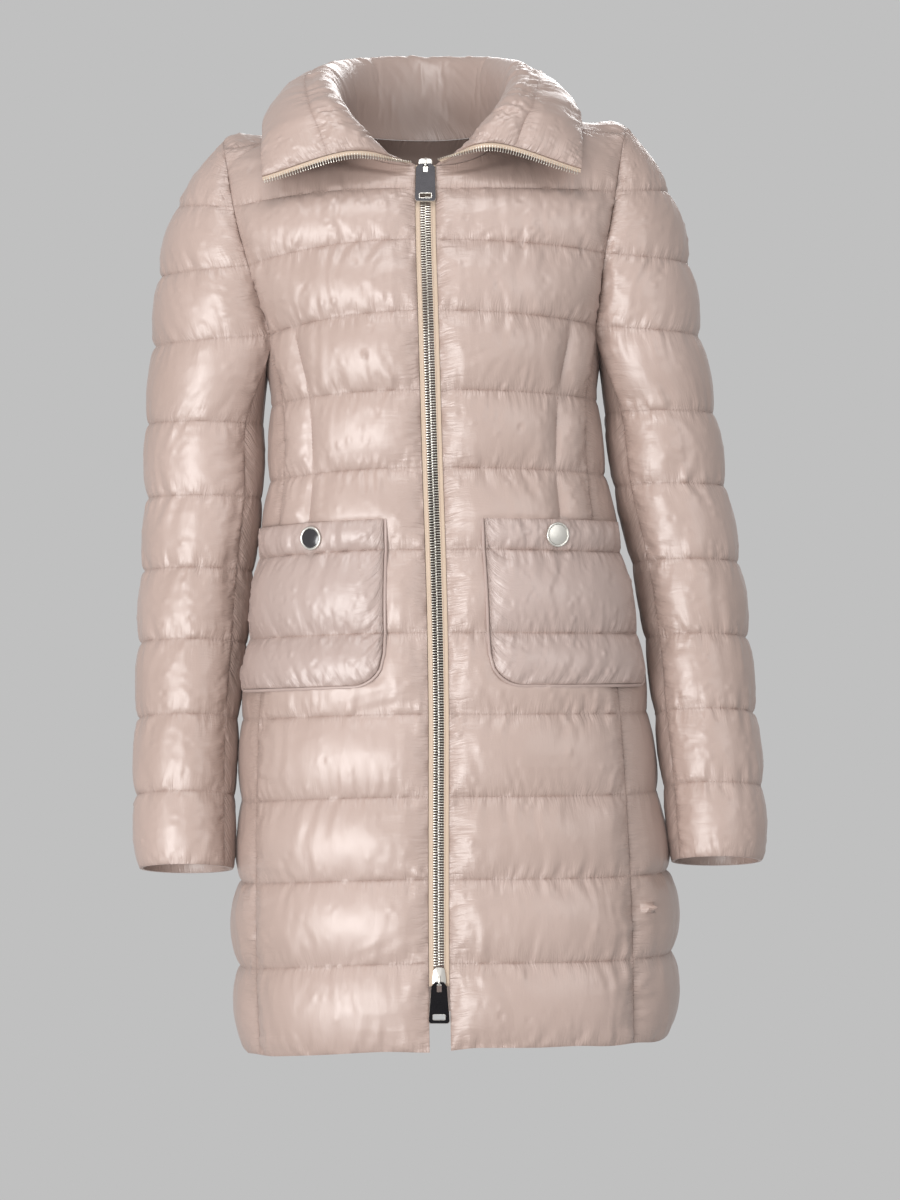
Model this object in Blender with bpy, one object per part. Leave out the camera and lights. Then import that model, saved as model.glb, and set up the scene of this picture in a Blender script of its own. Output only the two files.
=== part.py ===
"""Long puffer coat, worn and hollow: quilted panels, fold-out collar, two-way zip, patch pockets.

Metres, +Z up, the front faces -Y, the wearer's left side is at +X. The origin is between the
shoulders, at neck level. Every padded panel is a wall between two surfaces: a base surface, lofted
through the quilting rows, is moved out and in along its normals by half the stitched thickness at
a seam and by the down's puff between seams.
"""
import math

import bpy
import numpy as np

# ---- driving dimensions -------------------------------------------------------------------------
SEAM_GAP = 0.0003          # between two pieces that are sewn together
SEAM_WALL = 0.0030         # thickness of the quilt where it is stitched down
PUFF_OUT = 0.0075          # rise of the down on the outside, midway between two seams
PUFF_IN = 0.0030           # the same on the inside
CONTACT_PUFF = 0.35        # share of the puff where a sleeve and the body lie side by side
ARMPIT_PUFF = 0.05         # the same in the fold under the arm
UNDER_COLLAR_PUFF = 0.30   # the same where the collar presses on the shoulders
SHAPING_PUFF = 0.30        # the same along the short shaping seam of a front
COLLAR_PUFF = 0.70         # the same on the collar
SQUARENESS = 2.5           # exponent of the rounded section of the body
ZIP_HALF = 0.0094          # from the middle of the zip to the edge of a front
CHAIN_HALF = 0.0045        # half the width of the closed teeth
LAY_GAP = 0.0005           # under a piece that lies on a panel
UNDERARM_DIP = 0.016       # the armhole's lowest point, below its corners
NECK_SHARE = 0.44          # share of a panel's top row that belongs to the neckline
POCKET_SHARE = 0.235       # place of a pocket's inner edge across a front
SHAPING_SHARE = 0.72       # place of the shaping seam across a front
COLLAR_REACH = 0.70        # share of a front that the collar covers
COLLAR_REACH_BACK = 0.90   # the same on the back
NECK_QUIET = 0.60          # share of a top row, from the zip or the spine, with no puff at all
CONTACT_START_ROW = 2.7    # from here up to the armpit the sleeves lie against the body

# Quilting rows of the body from hem to bust: level at the zip; x of the zip, of the two side
# extremes and of the two front side seams; depths in front and behind; sag towards each side.
BODY_COLUMNS = ("name", "z", "zip_x", "right", "left", "front", "back",
                "seam_right", "seam_left", "sag_right", "sag_left")
BODY_ROWS = (
    ("hem", -0.822, 0.0090, -0.1680, 0.2140, 0.140, 0.146, -0.1520, 0.1810, 0.015, 0.003),
    ("lower skirt", -0.747, 0.0078, -0.1730, 0.2185, 0.140, 0.148, -0.1555, 0.1800, 0.013, 0.000),
    ("skirt", -0.673, 0.0075, -0.1720, 0.2140, 0.138, 0.148, -0.1555, 0.1780, 0.010, 0.000),
    ("upper skirt", -0.600, 0.0075, -0.1720, 0.2050, 0.136, 0.147, -0.1550, 0.1740, 0.009, 0.000),
    ("seat", -0.527, 0.0075, -0.1705, 0.1960, 0.134, 0.144, -0.1530, 0.1690, 0.008, 0.001),
    ("hip", -0.455, 0.0065, -0.1625, 0.1870, 0.130, 0.136, -0.1470, 0.1610, 0.007, 0.002),
    ("high hip", -0.381, 0.0045, -0.1540, 0.1720, 0.123, 0.122, -0.1390, 0.1500, 0.008, 0.003),
    ("waist", -0.308, 0.0020, -0.1455, 0.1570, 0.118, 0.110, -0.1310, 0.1400, 0.010, 0.004),
    ("under bust", -0.239, 0.0000, -0.1440, 0.1500, 0.124, 0.113, -0.1320, 0.1390, 0.010, 0.005),
    ("bust", -0.169, -0.0020, -0.1520, 0.1555, 0.126, 0.118, -0.1450, 0.1490, 0.018, 0.009),
)

# Rows above the bust: the middle of the front or back, then the armhole edge on each side.
CHEST_COLUMNS = ("name", "middle", "edge_right", "edge_left", "turn")
FRONT_UPPER = (
    ("chest", (-0.0040, -0.112, -0.105), (-0.1640, -0.066, -0.124), (0.1570, -0.066, -0.113), 62),
    ("yoke", (-0.0045, -0.097, -0.058), (-0.1780, -0.058, -0.071), (0.1670, -0.058, -0.057), 52),
)
BACK_UPPER = (
    ("chest", (-0.0020, 0.118, -0.105), (-0.1650, 0.066, -0.124), (0.1580, 0.066, -0.113), 62),
    ("yoke", (-0.0030, 0.107, -0.058), (-0.1800, 0.048, -0.068), (0.1690, 0.048, -0.054), 58),
)
THROAT = (-0.0045, -0.088, -0.036)
NAPE = (-0.0040, 0.080, 0.006)
RIDGE_MIDDLE = (-0.0040, 0.092, -0.022)
NECK_POINT = {"right": (-0.080, -0.022, 0.003), "left": (0.068, -0.022, 0.010)}
RIDGE_NECK = {"right": (-0.088, 0.010, 0.006), "left": (0.076, 0.010, 0.013)}
RIDGE_TIP = {"right": (-0.1895, 0.000, -0.0095), "left": (0.1780, 0.000, 0.0035)}
SHOULDER_TIP = {"right": (-0.1875, -0.035, -0.017), "left": (0.1755, -0.035, -0.003)}

# Sleeve rows: level on the sleeve's axis; x of the outer and of the inner side; half depth; y of
# the axis; fall of the ring's plane per metre towards the back; angle of the front seam.
SLEEVE_COLUMNS = ("name", "z", "outer", "inner", "depth", "axis_y", "fall", "seam")
SLEEVE_ROWS = {
    "right": (
        ("cap", -0.066, -0.2320, -0.1380, 0.059, -0.002, 0.00, 0),
        ("upper cap", -0.132, -0.2490, -0.1440, 0.063, 0.000, 0.00, 20),
        ("armpit", -0.196, -0.2570, -0.1540, 0.062, 0.001, 0.00, 46),
        ("biceps", -0.265, -0.2576, -0.1560, 0.058, 0.002, 0.02, 48),
        ("above elbow", -0.333, -0.2580, -0.1580, 0.055, 0.002, 0.04, 48),
        ("elbow", -0.400, -0.2613, -0.1660, 0.053, 0.000, 0.07, 48),
        ("forearm", -0.466, -0.2640, -0.1715, 0.051, -0.005, 0.10, 50),
        ("low forearm", -0.535, -0.2650, -0.1790, 0.049, -0.012, 0.13, 53),
        ("wrist", -0.605, -0.2668, -0.1815, 0.047, -0.021, 0.15, 56),
        ("cuff", -0.671, -0.2640, -0.1820, 0.046, -0.030, 0.16, 58),
    ),
    "left": (
        ("cap", -0.052, 0.2170, 0.1260, 0.059, -0.002, 0.00, 0),
        ("upper cap", -0.120, 0.2380, 0.1380, 0.063, 0.000, 0.00, 20),
        ("armpit", -0.186, 0.2490, 0.1570, 0.062, 0.001, 0.00, 46),
        ("biceps", -0.255, 0.2576, 0.1620, 0.058, 0.002, 0.02, 48),
        ("above elbow", -0.322, 0.2677, 0.1710, 0.055, 0.002, 0.04, 48),
        ("elbow", -0.392, 0.2797, 0.1870, 0.053, 0.000, 0.07, 48),
        ("forearm", -0.461, 0.2870, 0.1990, 0.051, -0.005, 0.10, 50),
        ("low forearm", -0.530, 0.2930, 0.2070, 0.049, -0.012, 0.13, 53),
        ("wrist", -0.597, 0.3000, 0.2150, 0.047, -0.021, 0.15, 56),
        ("cuff", -0.664, 0.3000, 0.2210, 0.046, -0.030, 0.16, 58),
    ),
}

# Collar stations from the front edge to the middle of the back, on the wearer's right: crest of
# the roll and free edge. The left side is their mirror, lifted a little.
COLLAR_COLUMNS = ("name", "crest", "edge")
COLLAR_STATIONS = (
    ("front edge", (-0.070, -0.116, -0.026), (-0.150, -0.103, -0.048)),
    ("front", (-0.080, -0.115, -0.004), (-0.151, -0.095, -0.033)),
    ("front corner", (-0.093, -0.099, 0.021), (-0.151, -0.078, -0.012)),
    ("shoulder", (-0.100, -0.026, 0.058), (-0.147, -0.020, 0.018)),
    ("back corner", (-0.072, 0.068, 0.080), (-0.104, 0.094, 0.030)),
    ("back", (-0.0078, 0.098, 0.086), (-0.0078, 0.130, 0.034)),
)
COLLAR_MIRROR_X = -0.0078
COLLAR_LIFT_LEFT = 0.007
COLLAR_CREST_AT = 0.42     # share of the collar's height at the crest
COLLAR_SEAM_AT = 0.59      # share of the collar's height at its quilting seam

# Sampling of the faceted walls.
BAFFLE_STEPS = (0.0, 0.37, 0.70)
PER_BAFFLE = len(BAFFLE_STEPS)
FRONT_STEPS = (0.0, 0.105, POCKET_SHARE, NECK_SHARE, 0.58, SHAPING_SHARE, 1.0)
HALF_BACK_STEPS = (0.0, 0.15, 0.30, NECK_SHARE, 0.58, SHAPING_SHARE, 1.0)
COLLAR_STATION_STEPS = (0, 1, 2, 3, 3.67, 4.33, 5, 5.67, 6.33, 7, 8, 9, 10)
SIDE_STEPS = (0.0, 0.22, 0.50, 0.78, 1.0)
ROLL_PIECES = 8            # facets of the back's edge over the shoulder, and of a top sleeve's ring
SEAM_ORDER = (0.31, 0.47, 0.83)      # a direction that ranks points, so both sides split alike
COLLAR_STEPS = (0.0, 0.20, 0.40, COLLAR_SEAM_AT, 0.73, 0.88, 1.0)

SIDES = {"right": -1.0, "left": 1.0}
TOP_ROW = len(BODY_ROWS) + len(FRONT_UPPER)          # the fronts' shoulder and neck row
BUST_ROW = len(BODY_ROWS) - 1
RIDGE_ROW = TOP_ROW                                  # of the back, whose top row is one further
BACK_TOP_ROW = TOP_ROW + 1
CAP_ROWS = TOP_ROW - BUST_ROW                        # quilting rows of a sleeve's cap
POCKET_ROWS = (4.37, 6.37)                           # bottom and top of a pocket, in rows

CLOTH = (0.640, 0.485, 0.425)
CLOTH_SHADE = (0.560, 0.415, 0.360)
TAPE = (0.560, 0.430, 0.320)
METAL = (0.720, 0.690, 0.620)
GUNMETAL = (0.045, 0.043, 0.046)
ENAMEL = (0.012, 0.011, 0.013)
PALE_SILVER = (0.700, 0.680, 0.640)


# ---- small tools --------------------------------------------------------------------------------
def named(columns, rows):
    """Turn a table into one dictionary for each row."""
    return [dict(zip(columns, row)) for row in rows]


BODY = named(BODY_COLUMNS, BODY_ROWS)


def unit(vectors):
    """Scale vectors to length one."""
    length = np.linalg.norm(vectors, axis=-1, keepdims=True)
    return vectors / np.maximum(length, 1e-12)


def through(rows, at):
    """Cardinal spline through rows of points, read at fractional row numbers."""
    rows = np.asarray(rows, float)
    at = np.asarray(at, float)
    last = len(rows) - 1
    low = np.clip(np.floor(at).astype(int), 0, last - 1)
    share = (at - low).reshape((-1,) + (1,) * (rows.ndim - 1))
    start, end = rows[low], rows[low + 1]
    before = np.where((low > 0).reshape(share.shape), rows[low - 1], 2 * start - end)
    has_after = (low < last - 1).reshape(share.shape)
    after = np.where(has_after, rows[np.minimum(low + 2, last)], 2 * end - start)
    leave = (end - before) / 2
    arrive = (after - start) / 2
    square, cube = share ** 2, share ** 3
    return (start * (2 * cube - 3 * square + 1) + end * (3 * square - 2 * cube)
            + leave * (cube - 2 * square + share) + arrive * (cube - square))


def even(curve, shares):
    """Points at the given shares of a finely drawn curve's length."""
    steps = np.linalg.norm(np.diff(curve, axis=0), axis=1)
    along = np.concatenate([[0.0], np.cumsum(steps)])
    along /= along[-1]
    return np.stack([np.interp(shares, along, curve[:, k]) for k in range(3)], axis=1)


def rounded(angle, power=SQUARENESS):
    """Sine and cosine of a rounded square: a superellipse of the given exponent."""
    sine, cosine = np.sin(angle), np.cos(angle)
    grow = 2.0 / power
    return np.sign(sine) * np.abs(sine) ** grow, np.sign(cosine) * np.abs(cosine) ** grow


def body_ring(row, angle):
    """Point of a body row at an angle from the middle front, turning towards the left side."""
    centre = (row["left"] + row["right"]) / 2
    half = (row["left"] - row["right"]) / 2
    sine, cosine = rounded(angle)
    depth = np.where(cosine > 0, row["front"], row["back"])
    sag = np.where(sine < 0, row["sag_right"], row["sag_left"])
    return np.stack([centre + half * sine, -depth * cosine, row["z"] - sag * sine ** 2], axis=-1)


def ring_angle(row, x):
    """Angle at which a body row's front passes x."""
    centre = (row["left"] + row["right"]) / 2
    half = (row["left"] - row["right"]) / 2
    share = (x - centre) / half
    return math.copysign(math.asin(abs(share) ** (SQUARENESS / 2)), share)


def seam_angles(row, side):
    """Angles of the zip edge, the front side seam and the back side seam of a body row."""
    zip_edge = ring_angle(row, row["zip_x"] + SIDES[side] * ZIP_HALF)
    front_seam = ring_angle(row, row["seam_" + side])
    back_seam = SIDES[side] * math.pi - front_seam
    return zip_edge, front_seam, back_seam


def arc(start, end, turn, shares):
    """Quarter-like arc that leaves start along x and has turned by so many degrees at end."""
    angle = np.radians(turn) * np.linspace(0, 1, 200)
    sine, cosine = rounded(angle)
    across = sine / sine[-1]
    inward = (1 - cosine) / (1 - cosine[-1])
    start, end = np.array(start), np.array(end)
    weights = np.stack([across, inward, across ** 2], axis=1)
    return even(start + (end - start) * weights, shares)


def neck_and_shoulder(middle, neck, tip, shares, rise):
    """Top row: a quarter round of the neckline, then a straight shoulder."""
    shares = np.asarray(shares, float)
    turn = np.clip(shares / NECK_SHARE, 0, 1) * math.pi / 2
    middle, neck, tip = np.array(middle), np.array(neck), np.array(tip)
    weights = np.stack([np.sin(turn), 1 - np.cos(turn), (1 - np.cos(turn)) ** rise], axis=1)
    along = np.clip((shares - NECK_SHARE) / (1 - NECK_SHARE), 0, 1)[:, None]
    return middle + (neck - middle) * weights + (tip - neck) * along


# ---- base surfaces ------------------------------------------------------------------------------
def front_net(side, shares):
    """Rows of a front, from hem to neck and shoulder, at shares from the zip to the side."""
    rows = []
    for row in BODY:
        zip_edge, front_seam, _ = seam_angles(row, side)
        curve = body_ring(row, np.linspace(zip_edge, front_seam, 200))
        rows.append(even(curve, shares))
    edge = SIDES[side] * ZIP_HALF
    for row in named(CHEST_COLUMNS, FRONT_UPPER):
        start = np.array(row["middle"]) + (edge, 0, 0)
        rows.append(arc(start, row["edge_" + side], row["turn"], shares))
    throat = np.array(THROAT) + (edge, 0, 0)
    rows.append(neck_and_shoulder(throat, NECK_POINT[side], SHOULDER_TIP[side], shares, 1.0))
    return np.array(rows)


def half_back_net(side, shares):
    """Rows of half the back, from hem over the shoulder, at shares from the middle to the side."""
    rows = []
    for row in BODY:
        _, _, back_seam = seam_angles(row, side)
        curve = body_ring(row, np.linspace(SIDES[side] * math.pi, back_seam, 200))
        rows.append(even(curve, shares))
    for row in named(CHEST_COLUMNS, BACK_UPPER):
        rows.append(arc(row["middle"], row["edge_" + side], row["turn"], shares))
    rows.append(neck_and_shoulder(RIDGE_MIDDLE, RIDGE_NECK[side], RIDGE_TIP[side], shares, 1.0))
    rows.append(neck_and_shoulder(NAPE, NECK_POINT[side], SHOULDER_TIP[side], shares, 1.0))
    return np.array(rows)


def side_net(side, shares):
    """Rows of a side panel, from hem to armhole, at shares from its front to its back seam."""
    rows = []
    for number, row in enumerate(BODY):
        _, front_seam, back_seam = seam_angles(row, side)
        points = even(body_ring(row, np.linspace(front_seam, back_seam, 200)), shares)
        if number == BUST_ROW:
            points[:, 2] -= UNDERARM_DIP * np.sin(math.pi * np.asarray(shares))
        rows.append(points)
    return np.array(rows)


def sleeve_ring(side, row, angle):
    """Point of a sleeve row at an angle from its front, turning away from the body."""
    centre = (row["outer"] + row["inner"]) / 2
    half = abs(row["outer"] - row["inner"]) / 2
    y = -row["depth"] * np.cos(angle)
    x = centre + SIDES[side] * half * np.sin(angle)
    return np.stack([x, row["axis_y"] + y, row["z"] - row["fall"] * y], axis=-1)


def top_sleeve_net(side, shares, front_edge, back_edge, top_edge):
    """Rows of a top sleeve, from the shoulder to the cuff, at shares from front to back seam."""
    shares = np.asarray(shares, float)[:, None]
    rows = [top_edge]
    for number, row in enumerate(named(SLEEVE_COLUMNS, SLEEVE_ROWS[side])):
        seam = math.radians(row["seam"])
        angle = -seam + shares[:, 0] * (math.pi + 2 * seam)
        points = sleeve_ring(side, row, angle)
        if number < len(front_edge):
            points = (points + (front_edge[number] - points[0]) * (1 - shares) ** 3
                      + (back_edge[number] - points[-1]) * shares ** 3)
        rows.append(points)
    return np.array(rows)


def under_sleeve_net(side, shares, top_edge):
    """Rows of an under sleeve, from the armhole to the cuff, at shares from front to back seam."""
    shares = np.asarray(shares, float)
    rows = [top_edge]
    for row in named(SLEEVE_COLUMNS, SLEEVE_ROWS[side])[3:]:
        seam = math.radians(row["seam"])
        angle = -seam - shares * (math.pi - 2 * seam)
        rows.append(sleeve_ring(side, row, angle))
    return np.array(rows)


def collar_net(neckline):
    """Rows of the collar at its stations: neckline, crest, free edge."""
    stations = named(COLLAR_COLUMNS, COLLAR_STATIONS)
    lines = []
    for key in ("crest", "edge"):
        right = np.array([station[key] for station in stations])
        left = right * (-1, 1, 1) + (2 * COLLAR_MIRROR_X, 0, 0)
        fade = np.linspace(1, 0, len(right))[:, None]
        left = left + fade * (0, 0, COLLAR_LIFT_LEFT)
        lines.append(through(np.concatenate([right, left[-2::-1]]), COLLAR_STATION_STEPS))
    return np.array([neckline] + lines)


# ---- panels -------------------------------------------------------------------------------------
def surface_normals(grid):
    """Normals of a grid of points, from the differences of its neighbours."""
    along = np.gradient(grid, axis=1)
    upward = np.gradient(grid, axis=0)
    return unit(np.cross(along, upward))


def levels(first, last, steps=BAFFLE_STEPS):
    """Row numbers from first to last, with the steps of each baffle between two seams."""
    inner = [number + step for number in range(first, last) for step in steps]
    return np.array(inner + [float(last)])


def rise(numbers):
    """Puff between two seams, 0 at a seam and 1 at the steps between."""
    share = numbers - np.floor(numbers)
    return np.where(np.minimum(share, 1 - share) < 1e-6, 0.0, 1.0)


class Panel:
    """One quilted piece: its base grid, its outward normals and the puff of each point."""

    def __init__(self, name, grid, puff, outward):
        self.name = name
        self.grid = grid
        self.normals = surface_normals(grid) * outward
        self.puff = np.broadcast_to(puff, grid.shape[:2]).copy()
        self.shift = np.zeros_like(grid)

    def edge(self, which):
        """Index of an edge of the grid: bottom, top, first or last column."""
        return {"bottom": (0, slice(None)), "top": (-1, slice(None)),
                "first": (slice(None), 0), "last": (slice(None), -1)}[which]

    def inner_neighbour(self, which):
        """The line of points next to an edge of the grid."""
        return {"bottom": self.grid[1], "top": self.grid[-2],
                "first": self.grid[:, 1], "last": self.grid[:, -2]}[which]


def sew(first, first_edge, second, second_edge, first_part=slice(None), second_part=slice(None),
        reverse=False):
    """Share the normals along a seam and open its gap, half on each piece."""
    one, two = first.edge(first_edge), second.edge(second_edge)
    step = -1 if reverse else 1
    normal_one = first.normals[one][first_part]
    normal_two = second.normals[two][second_part][::step]
    shared = unit(normal_one + normal_two)
    seam = first.grid[one][first_part]
    tangent = unit(np.gradient(seam, axis=0))
    across = unit(np.cross(tangent, shared))
    sides = ((first, first_edge, first_part, 1), (second, second_edge, second_part, step))
    for panel, which, part, order in sides:
        key = panel.edge(which)
        inward = panel.inner_neighbour(which)[part][::order] - seam
        towards = across * np.sign(np.sum(across * inward, axis=-1, keepdims=True))
        panel.normals[key][part] = shared[::order]
        panel.shift[key][part] += towards[::order] * SEAM_GAP / 2


def quiet(panel, which, part=slice(None)):
    """No puff along an edge that is stitched."""
    panel.puff[panel.edge(which)][part] = 0.0


def wall_mesh(outer, inner):
    """Vertices and faces of the closed wall between two grids of points."""
    rows, columns = outer.shape[:2]
    count = rows * columns
    number = np.arange(count).reshape(rows, columns)
    quads = np.stack([number[:-1, :-1], number[:-1, 1:], number[1:, 1:], number[1:, :-1]], axis=-1)
    faces = quads.reshape(-1, 4).tolist()
    faces += (quads[..., ::-1].reshape(-1, 4) + count).tolist()
    rim = np.concatenate([number[0, :-1], number[:-1, -1], number[-1, :0:-1], number[:0:-1, 0]])
    rank = outer.reshape(-1, 3) @ SEAM_ORDER
    for here, after in zip(rim.tolist(), np.roll(rim, -1).tolist()):
        if rank[here] < rank[after]:
            faces += [[here, here + count, after + count], [here, after + count, after]]
        else:
            faces += [[here, here + count, after], [here + count, after + count, after]]
    return np.concatenate([outer.reshape(-1, 3), inner.reshape(-1, 3)]), faces


def material(name, colour, roughness, metallic=0.0):
    """A plain material of one colour."""
    made = bpy.data.materials.new(name)
    made.use_nodes = True
    shader = made.node_tree.nodes["Principled BSDF"]
    shader.inputs["Base Color"].default_value = (*colour, 1.0)
    shader.inputs["Roughness"].default_value = roughness
    shader.inputs["Metallic"].default_value = metallic
    return made


def add_object(name, vertices, faces, finish, smooth=True):
    """Make one closed mesh object, its faces turned outwards."""
    mesh = bpy.data.meshes.new(name)
    mesh.from_pydata([tuple(point) for point in vertices], [], faces)
    corners = np.array([vertices[face[k]] for face in faces for k in (0, 1, 2)]).reshape(-1, 3, 3)
    extra = np.array([[vertices[f[0]], vertices[f[2]], vertices[f[3]]] for f in faces if len(f) == 4])
    if len(extra):
        corners = np.concatenate([corners, extra.reshape(-1, 3, 3)])
    volume = np.sum(np.cross(corners[:, 0], corners[:, 1]) * corners[:, 2])
    if volume < 0:
        mesh.flip_normals()
    mesh.update()
    if smooth:
        mesh.shade_smooth()
        mesh.set_sharp_from_angle(angle=math.radians(50))
    mesh.materials.append(finish)
    made = bpy.data.objects.new(name, mesh)
    bpy.context.scene.collection.objects.link(made)
    return made


def add_panel(panel, finish):
    """Build a panel's wall from its base grid, normals, puff and seam gaps."""
    base = panel.grid + panel.shift
    puff = panel.puff[..., None]
    outer = base + panel.normals * (SEAM_WALL / 2 + PUFF_OUT * puff)
    inner = base - panel.normals * (SEAM_WALL / 2 + PUFF_IN * puff)
    panel.outer = outer
    return add_object(panel.name, *wall_mesh(outer, inner), finish)


# ---- the cloth ----------------------------------------------------------------------------------
def contact_share(numbers, low, high, least):
    """1 away from a stretch of rows, falling to least inside it."""
    inside = np.clip(np.minimum(numbers - low, high - numbers) + 1, 0, 1)
    return 1 - (1 - least) * inside


def build_body():
    """Fronts, side panels and back, not yet sewn."""
    panels = {}
    front_levels = levels(0, TOP_ROW)
    roll = np.linspace(RIDGE_ROW, BACK_TOP_ROW, ROLL_PIECES + 1)
    back_levels = np.concatenate([levels(0, RIDGE_ROW)[:-1], roll])
    side_levels = levels(0, BUST_ROW)
    back_puff = rise(back_levels)
    back_puff[back_levels >= RIDGE_ROW] = 1.0
    for side, sign in SIDES.items():
        grid = through(front_net(side, FRONT_STEPS), front_levels)
        panels["front_" + side] = Panel("front_" + side, grid, rise(front_levels)[:, None], sign)
        grid = through(side_net(side, SIDE_STEPS), side_levels)
        near_arm = contact_share(side_levels, CONTACT_START_ROW, BUST_ROW + 1.0, CONTACT_PUFF)
        near_arm[side_levels > BUST_ROW - 1] = ARMPIT_PUFF
        puff = (rise(side_levels) * near_arm)[:, None]
        panels["side_" + side] = Panel("side_" + side, grid, puff, sign)
    halves = [through(half_back_net(side, HALF_BACK_STEPS), back_levels) for side in ("left", "right")]
    grid = np.concatenate([halves[0][:, ::-1], halves[1][:, 1:]], axis=1)
    panels["back"] = Panel("back", grid, back_puff[:, None], 1.0)
    shared = len(side_levels)
    for side in SIDES:
        flank = panels["side_" + side].grid
        flank[:, 0] = panels["front_" + side].grid[:shared, -1]
        flank[:, -1] = grid[:shared, 0 if side == "left" else -1]
    under_collar(panels, front_levels, back_levels)
    return panels


def under_collar(panels, front_levels, back_levels):
    """Press the down flat where the collar lies on the body, and leave none at the neckline."""
    half = np.array(HALF_BACK_STEPS)
    shares = np.concatenate([half[::-1], half[1:]])
    covered = (back_levels > RIDGE_ROW - 1)[:, None] & (shares < COLLAR_REACH_BACK)[None]
    at_neck = (back_levels > BACK_TOP_ROW - 0.6)[:, None] & (shares < NECK_QUIET)[None]
    panels["back"].puff[covered] *= UNDER_COLLAR_PUFF
    panels["back"].puff[at_neck] = 0.0
    shares = np.array(FRONT_STEPS)
    covered = (front_levels > TOP_ROW - 1)[:, None] & (shares < COLLAR_REACH)[None]
    at_neck = (front_levels > TOP_ROW - 0.5)[:, None] & (shares < NECK_QUIET)[None]
    for side in SIDES:
        panels["front_" + side].puff[covered] *= UNDER_COLLAR_PUFF
        panels["front_" + side].puff[at_neck] = 0.0


def build_sleeves(panels):
    """Top and under sleeves, their first rows on the armholes."""
    first_shared = PER_BAFFLE * BUST_ROW
    shared = PER_BAFFLE * CAP_ROWS
    for side, sign in SIDES.items():
        front = panels["front_" + side].grid
        back = panels["back"].grid[:, 0 if side == "left" else -1]
        front_edge = front[::-1, -1][PER_BAFFLE:shared + 1:PER_BAFFLE]
        ridge = PER_BAFFLE * RIDGE_ROW
        back_edge = back[ridge - PER_BAFFLE:first_shared - 1:-PER_BAFFLE]
        shares = np.linspace(0, 1, ROLL_PIECES + 1)
        top_edge = back[ridge:][::-1]
        rows = len(SLEEVE_ROWS[side])
        numbers = levels(0, rows)
        net = top_sleeve_net(side, shares, front_edge, back_edge, top_edge)
        grid = through(net, numbers)
        grid[:shared + 1, 0] = front[::-1, -1][:shared + 1]
        grid[:shared + 1, -1] = back[first_shared:ridge + 1][::-1]
        name = "sleeve_%s_top" % side
        panels[name] = Panel(name, grid, rise(numbers)[:, None], -sign)
        top = grid
        under_edge = panels["side_" + side].grid[-1]
        numbers = levels(0, rows - CAP_ROWS)
        grid = through(under_sleeve_net(side, SIDE_STEPS, under_edge), numbers)
        grid[:, 0] = top[shared:, 0]
        grid[:, -1] = top[shared:, -1]
        puff = (rise(numbers) * np.where(numbers < 1, ARMPIT_PUFF, CONTACT_PUFF))[:, None]
        name = "sleeve_%s_under" % side
        panels[name] = Panel(name, grid, puff, sign)


def build_collar(panels):
    """The fold-out collar on the neckline of the fronts and the back."""
    right, left = panels["front_right"].grid[-1], panels["front_left"].grid[-1]
    neck = HALF_BACK_STEPS.index(NECK_SHARE)
    middle = len(HALF_BACK_STEPS) - 1
    behind = panels["back"].grid[-1][middle - neck + 1:middle + neck][::-1]
    front_neck = FRONT_STEPS.index(NECK_SHARE)
    neckline = np.concatenate([right[:front_neck + 1], behind, left[front_neck::-1]])
    heights = np.interp(COLLAR_STEPS, (0, COLLAR_CREST_AT, 1), (0, 1, 2))
    grid = through(collar_net(neckline), heights)
    puff = np.array([0.0 if step in (0.0, COLLAR_SEAM_AT, 1.0) else COLLAR_PUFF for step in COLLAR_STEPS])
    puff[1] = 0.0
    panels["collar"] = Panel("collar", grid, puff[:, None], -1.0)


def sew_everything(panels):
    """Share normals and open the gaps along every seam."""
    arm = slice(PER_BAFFLE * BUST_ROW, PER_BAFFLE * TOP_ROW + 1)
    low = slice(0, PER_BAFFLE * BUST_ROW + 1)
    cap, below_cap = slice(0, PER_BAFFLE * CAP_ROWS + 1), slice(PER_BAFFLE * CAP_ROWS, None)
    neck, front_neck = HALF_BACK_STEPS.index(NECK_SHARE), FRONT_STEPS.index(NECK_SHARE)
    middle = len(HALF_BACK_STEPS) - 1
    back, collar = panels["back"], panels["collar"]
    stations = collar.grid.shape[1]
    for side in SIDES:
        front, flank = panels["front_" + side], panels["side_" + side]
        top, under = panels["sleeve_%s_top" % side], panels["sleeve_%s_under" % side]
        left = side == "left"
        back_edge = "first" if left else "last"
        sew(front, "last", flank, "first", low, slice(None))
        sew(back, back_edge, flank, "last", low, slice(None))
        sew(front, "last", top, "first", arm, cap, reverse=True)
        sew(back, back_edge, top, "last", arm, cap, reverse=True)
        sew(back, back_edge, top, "bottom", slice(PER_BAFFLE * RIDGE_ROW, None), slice(None), reverse=True)
        sew(flank, "top", under, "bottom")
        sew(top, "first", under, "first", below_cap, slice(None))
        sew(top, "last", under, "last", below_cap, slice(None))
        shoulder = slice(0, middle - neck + 1) if left else slice(middle + neck, None)
        sew(front, "top", back, "top", slice(front_neck, None), shoulder, reverse=left)
        throat = slice(stations - front_neck - 1, None) if left else slice(0, front_neck + 1)
        sew(front, "top", collar, "bottom", slice(0, front_neck + 1), throat, reverse=left)
    behind = slice(middle - neck, middle + neck + 1)
    sew(back, "top", collar, "bottom", behind, slice(front_neck, stations - front_neck), reverse=True)
    for panel in panels.values():
        for which in ("bottom", "top", "first", "last"):
            quiet(panel, which)


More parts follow.
